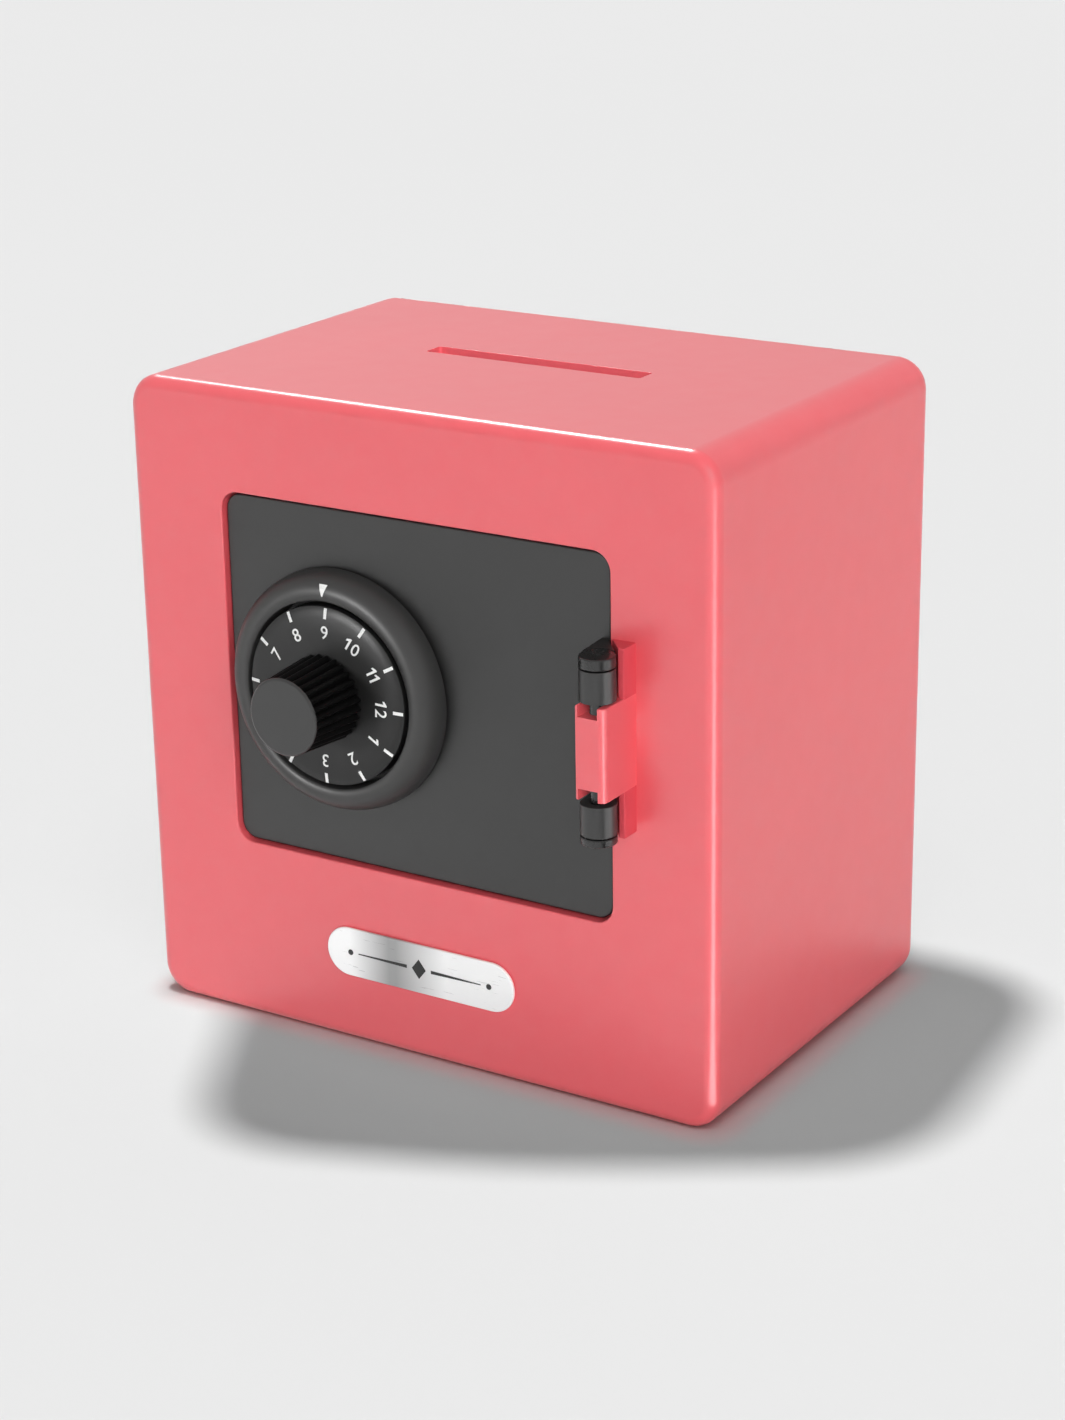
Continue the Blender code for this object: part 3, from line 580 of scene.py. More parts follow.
def finish(name, colour, roughness, metallic=0.0, blotch=0.015, grain=0.06, grain_size=0.35 * MM,
           wear=0.25, wear_colour=None, brush=None, specular=0.5, spread=0.05, neutral=False):
    """A moulded or metal finish: slow colour drift, uneven gloss, fine grain, and rubbed edges."""
    graph = Graph(name)
    place = graph.place()
    broad = graph.noise(place, 28 * MM)
    patchy = graph.noise(place, 4.5 * MM, 5.0)
    if brush:
        stretch = graph.add("Mapping", Vector=place)
        stretch.inputs["Scale"].default_value = brush
        place = stretch.outputs["Vector"]
    fine = graph.noise(place, grain_size, 4.0)
    drift = graph.add("HueSaturation", Color=rgba(colour))
    graph.feed(drift.inputs["Value"], graph.span(broad, 1 - blotch, 1 + blotch))
    graph.feed(drift.inputs["Saturation"], graph.span(patchy, 1 - blotch / 2, 1 + blotch / 2))
    rubbed = graph.times(graph.edges(0.35 * MM), graph.span(patchy, 0.0, wear, 0.3, 0.7))
    tint = wear_colour or tuple(c * 1.5 + 0.03 for c in colour)
    shown = graph.mix(rubbed, drift.outputs["Color"], rgba(tint))
    graph.set("Base Color", neutral_afar(graph, shown) if neutral else shown)
    uneven = graph.span(patchy, roughness - spread / 2, roughness + spread / 2)
    graph.set("Roughness", graph.maths("MULTIPLY_ADD", fine, spread, uneven))
    graph.set("Metallic", metallic)
    graph.set("Specular IOR Level", specular)
    graph.bump(grain, 0.05 * MM, fine)
    return graph.material


def ink(name, colour, roughness):
    """Pad-printed paint with a slightly broken surface."""
    graph = Graph(name)
    place = graph.place()
    speck = graph.noise(place, 0.25 * MM, 4.0)
    cover = graph.span(speck, 0.0, 1.0, 0.3, 0.45)
    graph.set("Base Color", graph.mix(cover, rgba(colour, 0.82), rgba(colour)))
    graph.set("Roughness", graph.span(speck, roughness - 0.1, roughness + 0.1))
    graph.bump(0.1, 0.02 * MM, speck)
    return graph.material


def plate_finish(name):
    """Satin-brushed metal with a painted reflection: a dark grey band in its colour, left of its middle."""
    graph = Graph(name)
    place = graph.place()
    along = graph.add("SeparateXYZ", Vector=place).outputs["X"]
    # The grey band is a painted reflection, placed along the plate's length.
    rise = graph.span(along, 0.0, 1.0, -15 * MM, -6.5 * MM)
    fall = graph.span(along, 1.0, 0.0, -5 * MM, 6 * MM)
    painted_reflection = graph.times(rise, fall)
    stretch = graph.add("Mapping", Vector=place)
    stretch.inputs["Scale"].default_value = (0.05, 1, 1)
    brushed = graph.noise(stretch.outputs["Vector"], 0.3 * MM, 4.0)
    graph.set("Base Color", graph.mix(painted_reflection, (0.98, 0.98, 0.98, 1), (0.36, 0.36, 0.36, 1)))
    graph.set("Metallic", 0.3)
    graph.set("Roughness", graph.span(brushed, 0.26, 0.38))
    graph.bump(0.03, 0.02 * MM, brushed)
    return graph.material


CORAL = finish("coral_plastic", (0.775, 0.098, 0.117), 0.30, grain=0.012, wear=0.25,
               wear_colour=(0.90, 0.26, 0.28), specular=1.0, spread=0.02, neutral=True)
# A darker, duller copy of the coral for the hinge strip: painted shade, where the strip sits in the barrels'
# shade.
SHADED_CORAL = finish("coral_plastic_satin", (0.66, 0.072, 0.092), 0.45, grain=0.012, wear=0.1,
                    wear_colour=(0.90, 0.26, 0.28), specular=0.12, spread=0.02, neutral=True)
# A brighter copy of the coral for the coin slot's walls: painted light on them.
LIT_SLOT_CORAL = finish("coral_plastic_slot", (0.99, 0.155, 0.185), 0.45, grain=0.012, wear=0.0, specular=0.2,
                    spread=0.02)
CHARCOAL = finish("charcoal_plastic", (0.011, 0.0109, 0.0107), 0.38, grain=0.05, blotch=0.05, specular=0.76,
                  wear_colour=(0.04, 0.04, 0.04))
BEZEL_GREY = finish("bezel_plastic", (0.034, 0.0335, 0.033), 0.40, grain=0.03, blotch=0.04, specular=0.42,
                    wear=0.0)
DISC_GREY = finish("disc_plastic", (0.009, 0.0089, 0.0088), 0.36, grain=0.08, blotch=0.08, specular=0.33,
                   wear=0.0)
SATIN_GREY = finish("satin_grey_plastic", (0.011, 0.0109, 0.0107), 0.34, grain=0.03, blotch=0.04,
                    specular=0.80, wear_colour=(0.04, 0.04, 0.04))
BLACK = finish("black_plastic", (0.003, 0.003, 0.003), 0.42, grain=0.12, specular=0.13,
               wear_colour=(0.02, 0.02, 0.02))
# A darker copy of the charcoal for the hinge pins: painted shade, so that the pin heads' tops look black.
SHADED_PIN_BLACK = finish("pin_plastic", (0.006, 0.006, 0.006), 0.25, grain=0.03, specular=0.7,
                   wear_colour=(0.03, 0.03, 0.03))
STEEL = finish("screw_steel", (0.62, 0.61, 0.60), 0.28, 1.0, grain=0.12, blotch=0.05)
BRASS = finish("wheel_brass", (0.70, 0.48, 0.20), 0.30, 1.0, grain=0.15, blotch=0.08,
               wear_colour=(0.9, 0.72, 0.4))
FELT = finish("drag_felt", (0.03, 0.03, 0.03), 0.92, grain=0.9, grain_size=0.2 * MM, specular=0.1)
PLATE = plate_finish("plate_metal")
WHITE_INK = ink("white_ink", (0.86, 0.86, 0.85), 0.5)
BLACK_INK = ink("black_ink", (0.02, 0.02, 0.02), 0.45)


# ---- body shell

def upright(width, height, radius, y, middle_z):
    """A ring of points round a rounded rectangle that stands across the XZ plane at depth y."""
    return [(x, y, middle_z + z) for x, z in rounded_rectangle(width, height, max(radius, 0.5 * MM))]


def shell_ring(y, inset):
    return upright(2 * (HALF_WIDTH - inset), TOP_Z - 2 * inset, CORNER_RADIUS - inset, y, MID_Z)


def opening_ring(y, grow):
    width = OPENING_WIDTH + 2 * grow
    return upright(width, OPENING_HEIGHT + 2 * grow, OPENING_RADIUS + grow, y, OPENING_Z)


def square_ring(y, side, radius):
    return upright(side, side, radius, y, MID_Z)


def shell_rings():
    """One closed section swept round: opening, front fillet, sides, rear fillet, cover seat, inside."""
    rings = [opening_ring(STOP_REAR, -STOP_LAP), opening_ring(STOP_FRONT, -STOP_LAP)]
    rings.append(opening_ring(STOP_FRONT, 0))
    for sine, cosine in quarter(4):
        rings.append(opening_ring(FRONT_Y + OPENING_LIP * (1 - sine), OPENING_LIP * (1 - cosine)))
    for inset, y in round_over(FRONT_Y, REAR_Y, FRONT_FILLET, REAR_FILLET, ARC):
        rings.append(shell_ring(y, inset))
    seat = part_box("rear_cover")[0].y - 0.1 * MM
    rings.append(square_ring(REAR_Y, *COVER_REBATE_RIM))
    rings.append(square_ring(REAR_Y - 0.2 * MM, *COVER_REBATE))
    rings.append(square_ring(seat, *COVER_REBATE))
    rings.append(square_ring(seat, *COVER_OPENING))
    rings.append(square_ring(REAR_Y - REAR_WALL, *COVER_OPENING))
    rings.append(shell_ring(REAR_Y - REAR_WALL, WALL))
    rings.append(shell_ring(FRONT_Y + WALL, WALL))
    rings.append(opening_ring(FRONT_Y + WALL, STOP_RIM))
    rings.append(opening_ring(STOP_REAR, STOP_RIM))
    return rings


def slot_cutter():
    """The coin slot, flared at the top so that its rim is rounded."""
    levels = [(0.0, TOP_Z - 2 * WALL), (0.0, TOP_Z - SLOT_ROUND)]
    for sine, cosine in quarter(5, 1):
        levels.append((SLOT_ROUND * (1 - cosine), TOP_Z - SLOT_ROUND * (1 - sine)))
    levels.append((SLOT_ROUND * 1.02, TOP_Z + 1 * MM))
    rings = []
    for grow, z in levels:
        outline = rounded_rectangle(
            SLOT_LENGTH + 2 * grow, SLOT_WIDTH + 2 * grow, SLOT_END + grow, 4, (0, SLOT_Y)
        )
        rings.append([(x, y, z) for x, y in outline])
    return capped(rings)


def box_mesh(low, high):
    mesh = bmesh.new()
    bmesh.ops.create_cube(mesh, size=1)
    size = Vector(high) - Vector(low)
    mesh.transform(Matrix.Translation((Vector(high) + Vector(low)) / 2) @ Matrix.Diagonal((*size, 1)))
    return mesh


def hinge_lug():
    """The block between the knuckles, notched at both ends so that the pins show."""
    low, high = LUG_SPAN
    front = SHELL_LOW.y
    corner = (LUG_RIGHT - LUG_ROUND, front + LUG_ROUND)
    outline = arc(corner, LUG_ROUND, 0, -math.pi / 2)
    inner = (LUG_LEFT + LUG_INNER_ROUND, front + LUG_INNER_ROUND)
    outline += arc(inner, LUG_INNER_ROUND, -math.pi / 2, -math.pi, 3)
    edge = OPENING_WIDTH / 2 + DOOR_GAP
    outline += [(LUG_LEFT, FRONT_Y - DOOR_GAP), (edge, FRONT_Y - DOOR_GAP)]
    outline += [(edge, FRONT_Y + MM), (LUG_RIGHT, FRONT_Y + MM)]
    lug = plate([outline], low, high, 0.25 * MM, "Z")
    half = NOTCH_WIDTH / 2
    cutters = []
    for start, end in ((high - NOTCH_HEIGHT, high + MM), (low - MM, low + NOTCH_HEIGHT)):
        cutters.append(box_mesh((HINGE_X - half, front - MM, start), (HINGE_X + half, NOTCH_BACK, end)))
    return carve(lug, *cutters)


def arm_tangent():
    """Where the line from the door's edge touches the hinge barrel."""
    dx = HINGE_X - ARM_CLEAR_X
    dy = HINGE_Y - FRONT_Y
    distance = math.hypot(dx, dy)
    angle = math.atan2(dy, dx) + math.asin(BARREL_RADIUS / distance)
    length = math.sqrt(distance**2 - BARREL_RADIUS**2)
    return ARM_CLEAR_X + length * math.cos(angle), FRONT_Y + length * math.sin(angle)


def hinge_strip():
    """The raised strip beside the hinge; its left face follows the knuckles' arms."""
    tangent = arm_tangent()
    slope = (tangent[0] - ARM_CLEAR_X) / (tangent[1] - FRONT_Y)
    foot = ARM_CLEAR_X + STRIP_ARM_GAP
    crest = foot + slope * (STRIP_FRONT - FRONT_Y)
    corner = (STRIP_RIGHT - STRIP_ROUND, STRIP_FRONT + STRIP_ROUND)
    outline = [(foot, FRONT_Y + MM), (foot, FRONT_Y), (crest, STRIP_FRONT)]
    outline += arc(corner, STRIP_ROUND, -math.pi / 2, 0, 5) + [(STRIP_RIGHT, FRONT_Y + MM)]
    return plate([outline], *STRIP_SPAN, 0.12 * MM, "Z")


def shell_bosses():
    bosses = []
    keeper_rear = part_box("lock_keeper")[1].y
    keeper_seat = keeper_rear - (KEEPER_BASE[1] - KEEPER_BASE[0]) - 0.2 * MM
    for name in ("keeper_screw_upper", "keeper_screw_lower"):
        post = circle(BOSS_RADIUS, axis_of(name), 48)
        bosses.append(plate([post], FRONT_Y + WALL - MM, keeper_seat, 0.2 * MM))
    cover_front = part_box("rear_cover")[0].y
    for name in COVER_SCREWS:
        centre = axis_of(f"rear_cover_screw_{name}")
        loops = [circle(BOSS_RADIUS, centre, 48), circle(SCREW_PILOT, centre, 24)]
        bosses.append(plate(loops, REAR_Y - REAR_WALL - 6 * MM, cover_front - 0.2 * MM, 0.2 * MM))
    return bosses


def in_slot(point):
    """Whether a point of the shell is on the coin slot's walls."""
    along = abs(point.x) < SLOT_LENGTH / 2 + SLOT_MARGIN
    across = abs(point.y - SLOT_Y) < SLOT_WIDTH / 2 + SLOT_MARGIN
    return along and across and TOP_Z - 1.5 * WALL < point.z < TOP_Z - 0.05 * MM


def build_shell():
    break_low = (-OPENING_WIDTH / 2 - STOP_RIM - MM, FRONT_Y + WALL, DIAL_Z - STOP_BREAK)
    break_high = (-OPENING_WIDTH / 2 + STOP_LAP + MM, STOP_REAR + MM, DIAL_Z + STOP_BREAK)
    shell = carve(skin(shell_rings(), loop=True)[0], slot_cutter(), box_mesh(break_low, break_high))
    whole = merged(shell, *shell_bosses())
    # Faces on the coin slot's walls take the brighter coral copy: painted light.
    for face in whole.faces:
        face.material_index = int(in_slot(face.calc_center_median()))
    piece("body_shell_moulded", whole, [CORAL, LIT_SLOT_CORAL], "bank", "coral_plastic", "body_shell", angle=28)
    lug = piece("body_shell_hinge_lug", hinge_lug(), CORAL, "bank", "coral_plastic", angle=28)
    lug.visible_glossy = False
    # The strip takes the darker coral copy: painted shade beside the hinge barrels.
    strip = piece("body_shell_hinge_strip", hinge_strip(), SHADED_CORAL, "bank", "coral_plastic", angle=28)
    strip.visible_glossy = False


def screw_mesh(name):
    """A pan-head screw along Y, its head to the rear, with a cross recess."""
    low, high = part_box(name)
    centre = axis_of(name)
    head = (high.x - low.x) / 2
    under = high.y - SCREW_HEAD
    profile = [(0.3 * MM, low.y), (SCREW_SHANK, low.y + 0.8 * MM), (SCREW_SHANK, under), (head, under)]
    profile += [(head, under + SCREW_HEAD_WALL)]
    for sine, cosine in quarter(6, 1):
        crown = SCREW_HEAD_WALL + (SCREW_HEAD - SCREW_HEAD_WALL) * sine
        profile.append((head * (0.25 + 0.75 * cosine), under + crown))
    body = lathe(profile, centre, count=48)
    arms = []
    for width, height in ((RECESS_LENGTH, RECESS_WIDTH), (RECESS_WIDTH, RECESS_LENGTH)):
        low_corner = (centre[0] - width / 2, high.y - RECESS_DEPTH, centre[1] - height / 2)
        arms.append(box_mesh(low_corner, (centre[0] + width / 2, high.y + MM, centre[1] + height / 2)))
    return carve(body, *arms)


def build_screws():
    bodies = frame["record"]["behaviour"]["bodies"]
    for name in sorted(node for node in frame["nodes"] if "screw" in node):
        body = next(key for key, group in bodies.items() if name in group)
        piece(f"{name}_turned", screw_mesh(name), STEEL, body, "screw_steel", name)


def build_rear_cover():
    low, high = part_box("rear_cover")
    outline = rounded_rectangle(high.x - low.x, high.z - low.z, 5.7 * MM, ARC, (0, MID_Z))
    centres = [axis_of(f"rear_cover_screw_{name}") for name in COVER_SCREWS]
    holes = [circle(SCREW_CLEARANCE, centre, 32) for centre in centres]
    seats = [circle(2.8 * MM, centre, 48) for centre in centres]
    seat_y = low.y + 0.9 * MM
    inner = plate([outline] + holes, low.y, seat_y, 0.0)
    outer = plate([outline] + seats, seat_y, high.y, 0.0, edge_high=0.35 * MM)
    piece("rear_cover_moulded", merged(inner, outer), CORAL, "bank", "coral_plastic", "rear_cover")


def stadium(length, height, steps=24):
    radius = height / 2
    right = arc((length / 2 - radius, 0), radius, -math.pi / 2, math.pi / 2, steps)
    left = arc((radius - length / 2, 0), radius, math.pi / 2, 1.5 * math.pi, steps)
    return right + left


def build_name_plate():
    """A round-ended plate with a printed line, two dots and a diamond."""
    low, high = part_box("name_plate")
    centre_z = (low.z + high.z) / 2
    outline = [(x, centre_z + z) for x, z in stadium(high.x - low.x, high.z - low.z)]
    metal = plate([outline], low.y, high.y, 0.22 * MM)
    piece("name_plate_metal", metal, PLATE, "bank", "plate_metal", "name_plate")

    def printed(points):
        return plate([[(x * MM, centre_z + z * MM) for x, z in points]], low.y - INK, low.y + INK, 0.0)

    marks = [printed([(0, 1.9), (1.5, 0), (0, -1.9), (-1.5, 0)])]
    blade = ((2.6, 0.32), (13.2, 0.1), (13.2, -0.1), (2.6, -0.32))
    for side in (-1, 1):
        marks.append(printed([(side * x, z) for x, z in blade]))
        marks.append(printed(circle(0.55, (side * 14.9, 0), 24)))
    piece("name_plate_ornament", merged(*marks), BLACK_INK, "bank", "plate_metal")


# ---- door and hinge

def bore_ring(ring, radius, y):
    """The points where lines from the dial's axis to the ring cross a circle round that axis."""
    points = []
    for x, _, z in ring:
        across = Vector((x - DIAL_X, z - DIAL_Z)).normalized() * radius
        points.append((DIAL_X + across.x, y, DIAL_Z + across.y))
    return points


def door_leaf():
    edges = round_over(DOOR_FRONT, DOOR_REAR, 0.4 * MM, 0.7 * MM, 5)
    rings = [opening_ring(y, -DOOR_GAP - inset) for inset, y in edges]
    rings.append(bore_ring(rings[-1], RUNNING_BORE, DOOR_REAR))
    rings.append(bore_ring(rings[0], RUNNING_BORE, DOOR_FRONT))
    return skin(rings, loop=True)[0]


def bearing(point):
    """The direction of a point seen from the hinge's axis."""
    return math.atan2(point[1] - HINGE_Y, point[0] - HINGE_X)


def knuckle(span, head_side):
    """A barrel on its arm; beside the pin's head only the arm goes on."""
    low, high = span
    centre = (HINGE_X, HINGE_Y)
    tangent = arm_tangent()
    foot = DOOR_FRONT + MM
    barrel = arc(centre, BARREL_RADIUS, math.pi, 2 * math.pi + bearing(tangent), 28)
    near = [(ARM_CLEAR_X, FRONT_Y), (ARM_FOOT_RIGHT, DOOR_FRONT)]
    near += [(ARM_FOOT_RIGHT, foot), (ARM_FOOT_LEFT, foot)]
    bore = circle(PIN_RADIUS + PIN_RUNNING_GAP, centre, 32)
    body = plate([barrel + near, bore], low, high, 0.12 * MM, "Z")
    start = meet((ARM_FOOT_LEFT, foot), (HINGE_X - BARREL_RADIUS, HINGE_Y), centre)
    end = meet((ARM_CLEAR_X, FRONT_Y), tangent, centre)
    cheek = arc(centre, HEAD_RECESS, bearing(start), bearing(end), 12)
    beside_head = (high, ARM_SPAN[1]) if head_side > 0 else (ARM_SPAN[0], low)
    return merged(body, plate([cheek + near], *beside_head, 0.0, "Z"))


def meet(start, end, centre):
    """Where the line from start towards end first crosses the pin head's recess."""
    a = Vector(start)
    way = (Vector(end) - a).normalized()
    from_centre = a - Vector(centre)
    half = from_centre.dot(way)
    root = math.sqrt(half * half - from_centre.length_squared + HEAD_RECESS**2)
    return tuple(a + way * (-half - root))


def build_door():
    bosses = []
    for name in ("right", "upper", "lower"):
        centre = axis_of(f"housing_screw_{name}")
        loops = [circle(EAR_RADIUS, centre, 48), circle(SCREW_PILOT, centre, 24)]
        bosses.append(plate(loops, DOOR_REAR - 0.5 * MM, DOOR_BOSS_END, 0.15 * MM))
    whole = merged(door_leaf(), knuckle(UPPER_KNUCKLE, 1), knuckle(LOWER_KNUCKLE, -1), *bosses)
    piece("door_moulded", whole, CHARCOAL, "door", "charcoal_plastic", "door_panel")


def build_hinge_pins():
    spots = (("hinge_pin_upper", 1, UPPER_KNUCKLE[1]), ("hinge_pin_lower", -1, LOWER_KNUCKLE[0]))
    for name, side, barrel_end in spots:
        low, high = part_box(name)
        top = high.z if side > 0 else low.z
        tip = low.z if side > 0 else high.z
        under = barrel_end + side * HEAD_GAP
        profile = [(0.2 * MM, tip), (PIN_RADIUS, tip), (PIN_RADIUS, under), (BARREL_RADIUS, under)]
        profile += [(BARREL_RADIUS, top), (0.2 * MM, top)]
        mesh = lathe(soften(profile, 0.3 * MM), (HINGE_X, HINGE_Y), "Z", 64)
        # The pins take the darker charcoal copy: painted shade on their heads' tops.
        piece(f"{name}_turned", mesh, SHADED_PIN_BLACK, "bank", "charcoal_plastic", name)


# ---- dial

def crown_y(radius):
    """Front of the bezel at this distance from the dial's axis."""
    if radius > BEZEL_CREST_RADIUS:
        foot = BEZEL_WALL
        share = (radius - BEZEL_CREST_RADIUS) / (BEZEL_RADIUS - BEZEL_CREST_RADIUS)
    else:
        foot = BEZEL_LIP
        share = (BEZEL_CREST_RADIUS - radius) / (BEZEL_CREST_RADIUS - BEZEL_BORE)
    return BEZEL_HIGH.y - foot - (BEZEL_CREST - foot) * math.sqrt(max(0.0, 1 - share**2))


def disc_y(radius):
    """Front of the dial disc: flat in the middle, falling away to its rim."""
    start = DISC_RADIUS * DISC_FLAT
    share = max(0.0, (radius - start) / (DISC_RADIUS - start))
    return DISC_LOW.y + DISC_DISH * share**2


def build_bezel():
    foot = BEZEL_RADIUS - BEZEL_GROOVE_DEPTH
    groove = BEZEL_HIGH.y - BEZEL_GROOVE_HEIGHT
    profile = [(BEZEL_BORE, BEZEL_HIGH.y), (foot, BEZEL_HIGH.y), (foot, groove), (BEZEL_RADIUS, groove)]
    radii = [BEZEL_CREST_RADIUS + (BEZEL_RADIUS - BEZEL_CREST_RADIUS) * cosine for _, cosine in quarter(16)]
    radii += [BEZEL_CREST_RADIUS - (BEZEL_CREST_RADIUS - BEZEL_BORE) * sine for sine, _ in quarter(12, 1)]
    profile += [(radius, crown_y(radius)) for radius in radii]
    mesh = lathe(profile, DIAL_CENTRE, count=192, loop=True)
    piece("dial_bezel_moulded", mesh, BEZEL_GREY, "door", "charcoal_plastic", "dial_bezel", angle=50)
    pointer = printed_wedge(POINTER_SPAN, POINTER_HALVES, math.pi / 2, crown_y)
    piece("dial_pointer_print", pointer, WHITE_INK, "door", "charcoal_plastic")


def printed_wedge(span, halves, angle, surface):
    """A strip of print along a radius, lying on a turned surface; `halves` are its half widths."""
    rings = []
    for step in range(9):
        share = step / 8
        radius = span[0] + (span[1] - span[0]) * share
        half = halves[0] + (halves[1] - halves[0]) * share
        ring = []
        for side, lift in ((-1, -INK), (1, -INK), (1, INK), (-1, INK)):
            x = radius * math.cos(angle) - side * half * math.sin(angle)
            z = radius * math.sin(angle) + side * half * math.cos(angle)
            ring.append((DIAL_X + x, surface(math.hypot(x, z)) + lift, DIAL_Z + z))
        rings.append(ring)
    return capped(rings)


def glyph(letter):
    """A digit's outline mesh, its middle on the origin, and its advance width."""
    if letter == "1":
        high = DIGIT_HEIGHT / 2
        stem = DIGIT_HEIGHT * 0.09
        outline = [(stem, -high), (stem, high), (-stem * 0.4, high), (-stem * 3.6, high - stem * 2.2)]
        outline += [(-stem * 3.6, high - stem * 4.0), (-stem, high - stem * 2.9), (-stem, -high)]
        mesh = plate([outline], -INK, INK, 0.0, "Z")
        return mesh, DIGIT_HEIGHT * 0.56
    curve = bpy.data.curves.new("numeral", "FONT")
    curve.body = letter
    curve.size = DIGIT_HEIGHT * 1.4
    curve.align_x = "CENTER"
    curve.extrude = INK
    curve.offset = 0.02 * MM
    item = bpy.data.objects.new("numeral", curve)
    bpy.context.scene.collection.objects.link(item)
    graph = bpy.context.evaluated_depsgraph_get()
    data = bpy.data.meshes.new_from_object(item.evaluated_get(graph))
    mesh = bmesh.new()
    mesh.from_mesh(data)
    bpy.data.objects.remove(item, do_unlink=True)
    xs = [vert.co.x for vert in mesh.verts]
    ys = [vert.co.y for vert in mesh.verts]
    middle = Vector(((min(xs) + max(xs)) / 2, (min(ys) + max(ys)) / 2, 0))
    scale = DIGIT_HEIGHT / (max(ys) - min(ys))
    for vert in mesh.verts:
        flat = (vert.co - middle) * scale
        vert.co = (flat.x, flat.y, vert.co.z)
    return mesh, DIGIT_HEIGHT * 0.82


def printed_number(text, angle):
    """A numeral whose top points away from the dial's axis, lying on the disc."""
    glyphs = [glyph(letter) for letter in text]
    start = -sum(width for _, width in glyphs) / 2
    for mesh, width in glyphs:
        for vert in mesh.verts:
            across = vert.co.x + start + width / 2
            out = DIGIT_RING + vert.co.y
            x = out * math.cos(angle) + across * math.sin(angle)
            z = out * math.sin(angle) - across * math.cos(angle)
            lift = -INK if vert.co.z > 0 else INK
            vert.co = (DIAL_X + x, disc_y(math.hypot(x, z)) + lift, DIAL_Z + z)
        start += width
    return merged(*[mesh for mesh, _ in glyphs])


def build_disc():
    edge = 0.2 * MM
    profile = [(DISC_BORE, DISC_HIGH.y), (DISC_RADIUS - edge, DISC_HIGH.y), (DISC_RADIUS, DISC_HIGH.y - edge)]
    rim = disc_y(DISC_RADIUS)
    profile += [(DISC_RADIUS, rim + 0.3 * MM), (DISC_RADIUS - 0.1 * MM, rim + 0.1 * MM)]
    for step in range(1, 20):
        radius = (DISC_RADIUS - 0.25 * MM) * (1 - step / 20)
        profile.append((max(radius, DISC_BORE), disc_y(radius)))
    mesh = lathe(profile, DIAL_CENTRE, count=192, loop=True)
    piece("dial_disc_moulded", mesh, DISC_GREY, "dial", "charcoal_plastic", "dial_disc", angle=50)
    prints = []
    for hour in range(HOURS):
        number = (hour + FIRST_HOUR - 1) % HOURS + 1
        angle = math.pi / 2 - math.radians(360 / HOURS * hour + DIAL_LEAD)
        prints.append(printed_wedge(TICK_SPAN, TICK_HALVES, angle, disc_y))
        prints.append(printed_number(str(number), angle))
    piece("dial_numbers_print", merged(*prints), WHITE_INK, "dial", "charcoal_plastic")


def build_knob():
    """A tapering finger knob, its flutes fading out just short of the face."""
    low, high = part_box("knob")
    length = high.y - low.y

    def ribbed(angle, radius, y):
        fade = min(1.0, max(0.0, (y - low.y - KNOB_RIM * 0.75) / (0.25 * MM)))
        groove = 1 - abs(math.sin(KNOB_FLUTES / 2 * angle)) ** 0.9
        return radius - KNOB_FLUTE_DEPTH * groove * fade

    profile = [(KNOB_BASE * 0.5, high.y), (KNOB_BASE, high.y)]
    for step in range(1, 13):
        share = step / 12
        radius = KNOB_BASE + (KNOB_TIP - KNOB_BASE) * share
        profile.append((radius, high.y - (length - KNOB_RIM) * share))
    for sine, cosine in quarter(8, 1):
        profile.append((KNOB_TIP - KNOB_RIM * (1 - cosine), low.y + KNOB_RIM * (1 - sine)))
    mesh = lathe(profile, DIAL_CENTRE, count=KNOB_FLUTES * 14, reach=ribbed)
    # Only the face takes the satin grey; the fluted side keeps the darker black, a shaded copy of the
    # plastic: painted shade for its shaded flutes.
    for face in mesh.faces:
        centre = face.calc_center_median()
        out = math.hypot(centre.x - DIAL_X, centre.z - DIAL_Z)
        if centre.y < low.y + 0.4 * MM and out < KNOB_TIP:
            face.material_index = 1
    piece("knob_moulded", mesh, [BLACK, SATIN_GREY], "dial", "black_plastic", "knob", angle=60)


# ---- lock

def wheel_mesh(front, tabs):
    """A notched wheel on a hub, with drive tabs (angle, start, end) and four stamped rings."""
    edge = math.asin(NOTCH_HALF / WHEEL_RADIUS)
    outline = arc((0, 0), WHEEL_RADIUS, math.pi + edge, 3 * math.pi - edge, 96)
    outline += [(-NOTCH_BOTTOM, NOTCH_HALF), (-NOTCH_BOTTOM, -NOTCH_HALF)]
    outline = [(DIAL_X + x, DIAL_Z + z) for x, z in outline]
    rear = front + WHEEL_THICKNESS
    bore = circle(RUNNING_BORE, DIAL_CENTRE, 48)
    meshes = [plate([outline, bore], front, rear, 0.18 * MM)]
    hub = [circle(HUB_RADIUS, DIAL_CENTRE, 64), bore]
    meshes.append(plate(hub, front - HUB_LENGTH, front + MM, 0.2 * MM))
    for angle, start, end in tabs:
        tab = rounded_box((TAB_START, start, -TAB_HALF), (TAB_END, end, TAB_HALF), 0.2 * MM)
        meshes.append(about_dial(tab, angle))
    for angle in STAMP_ANGLES:
        spot = (DIAL_X + STAMP_RING * math.cos(angle), DIAL_Z + STAMP_RING * math.sin(angle))
        loops = [circle(radius, spot, 32) for radius in STAMP_RADII]
        meshes.append(plate(loops, rear - 0.05 * MM, rear, 0.0))
    return merged(*meshes)


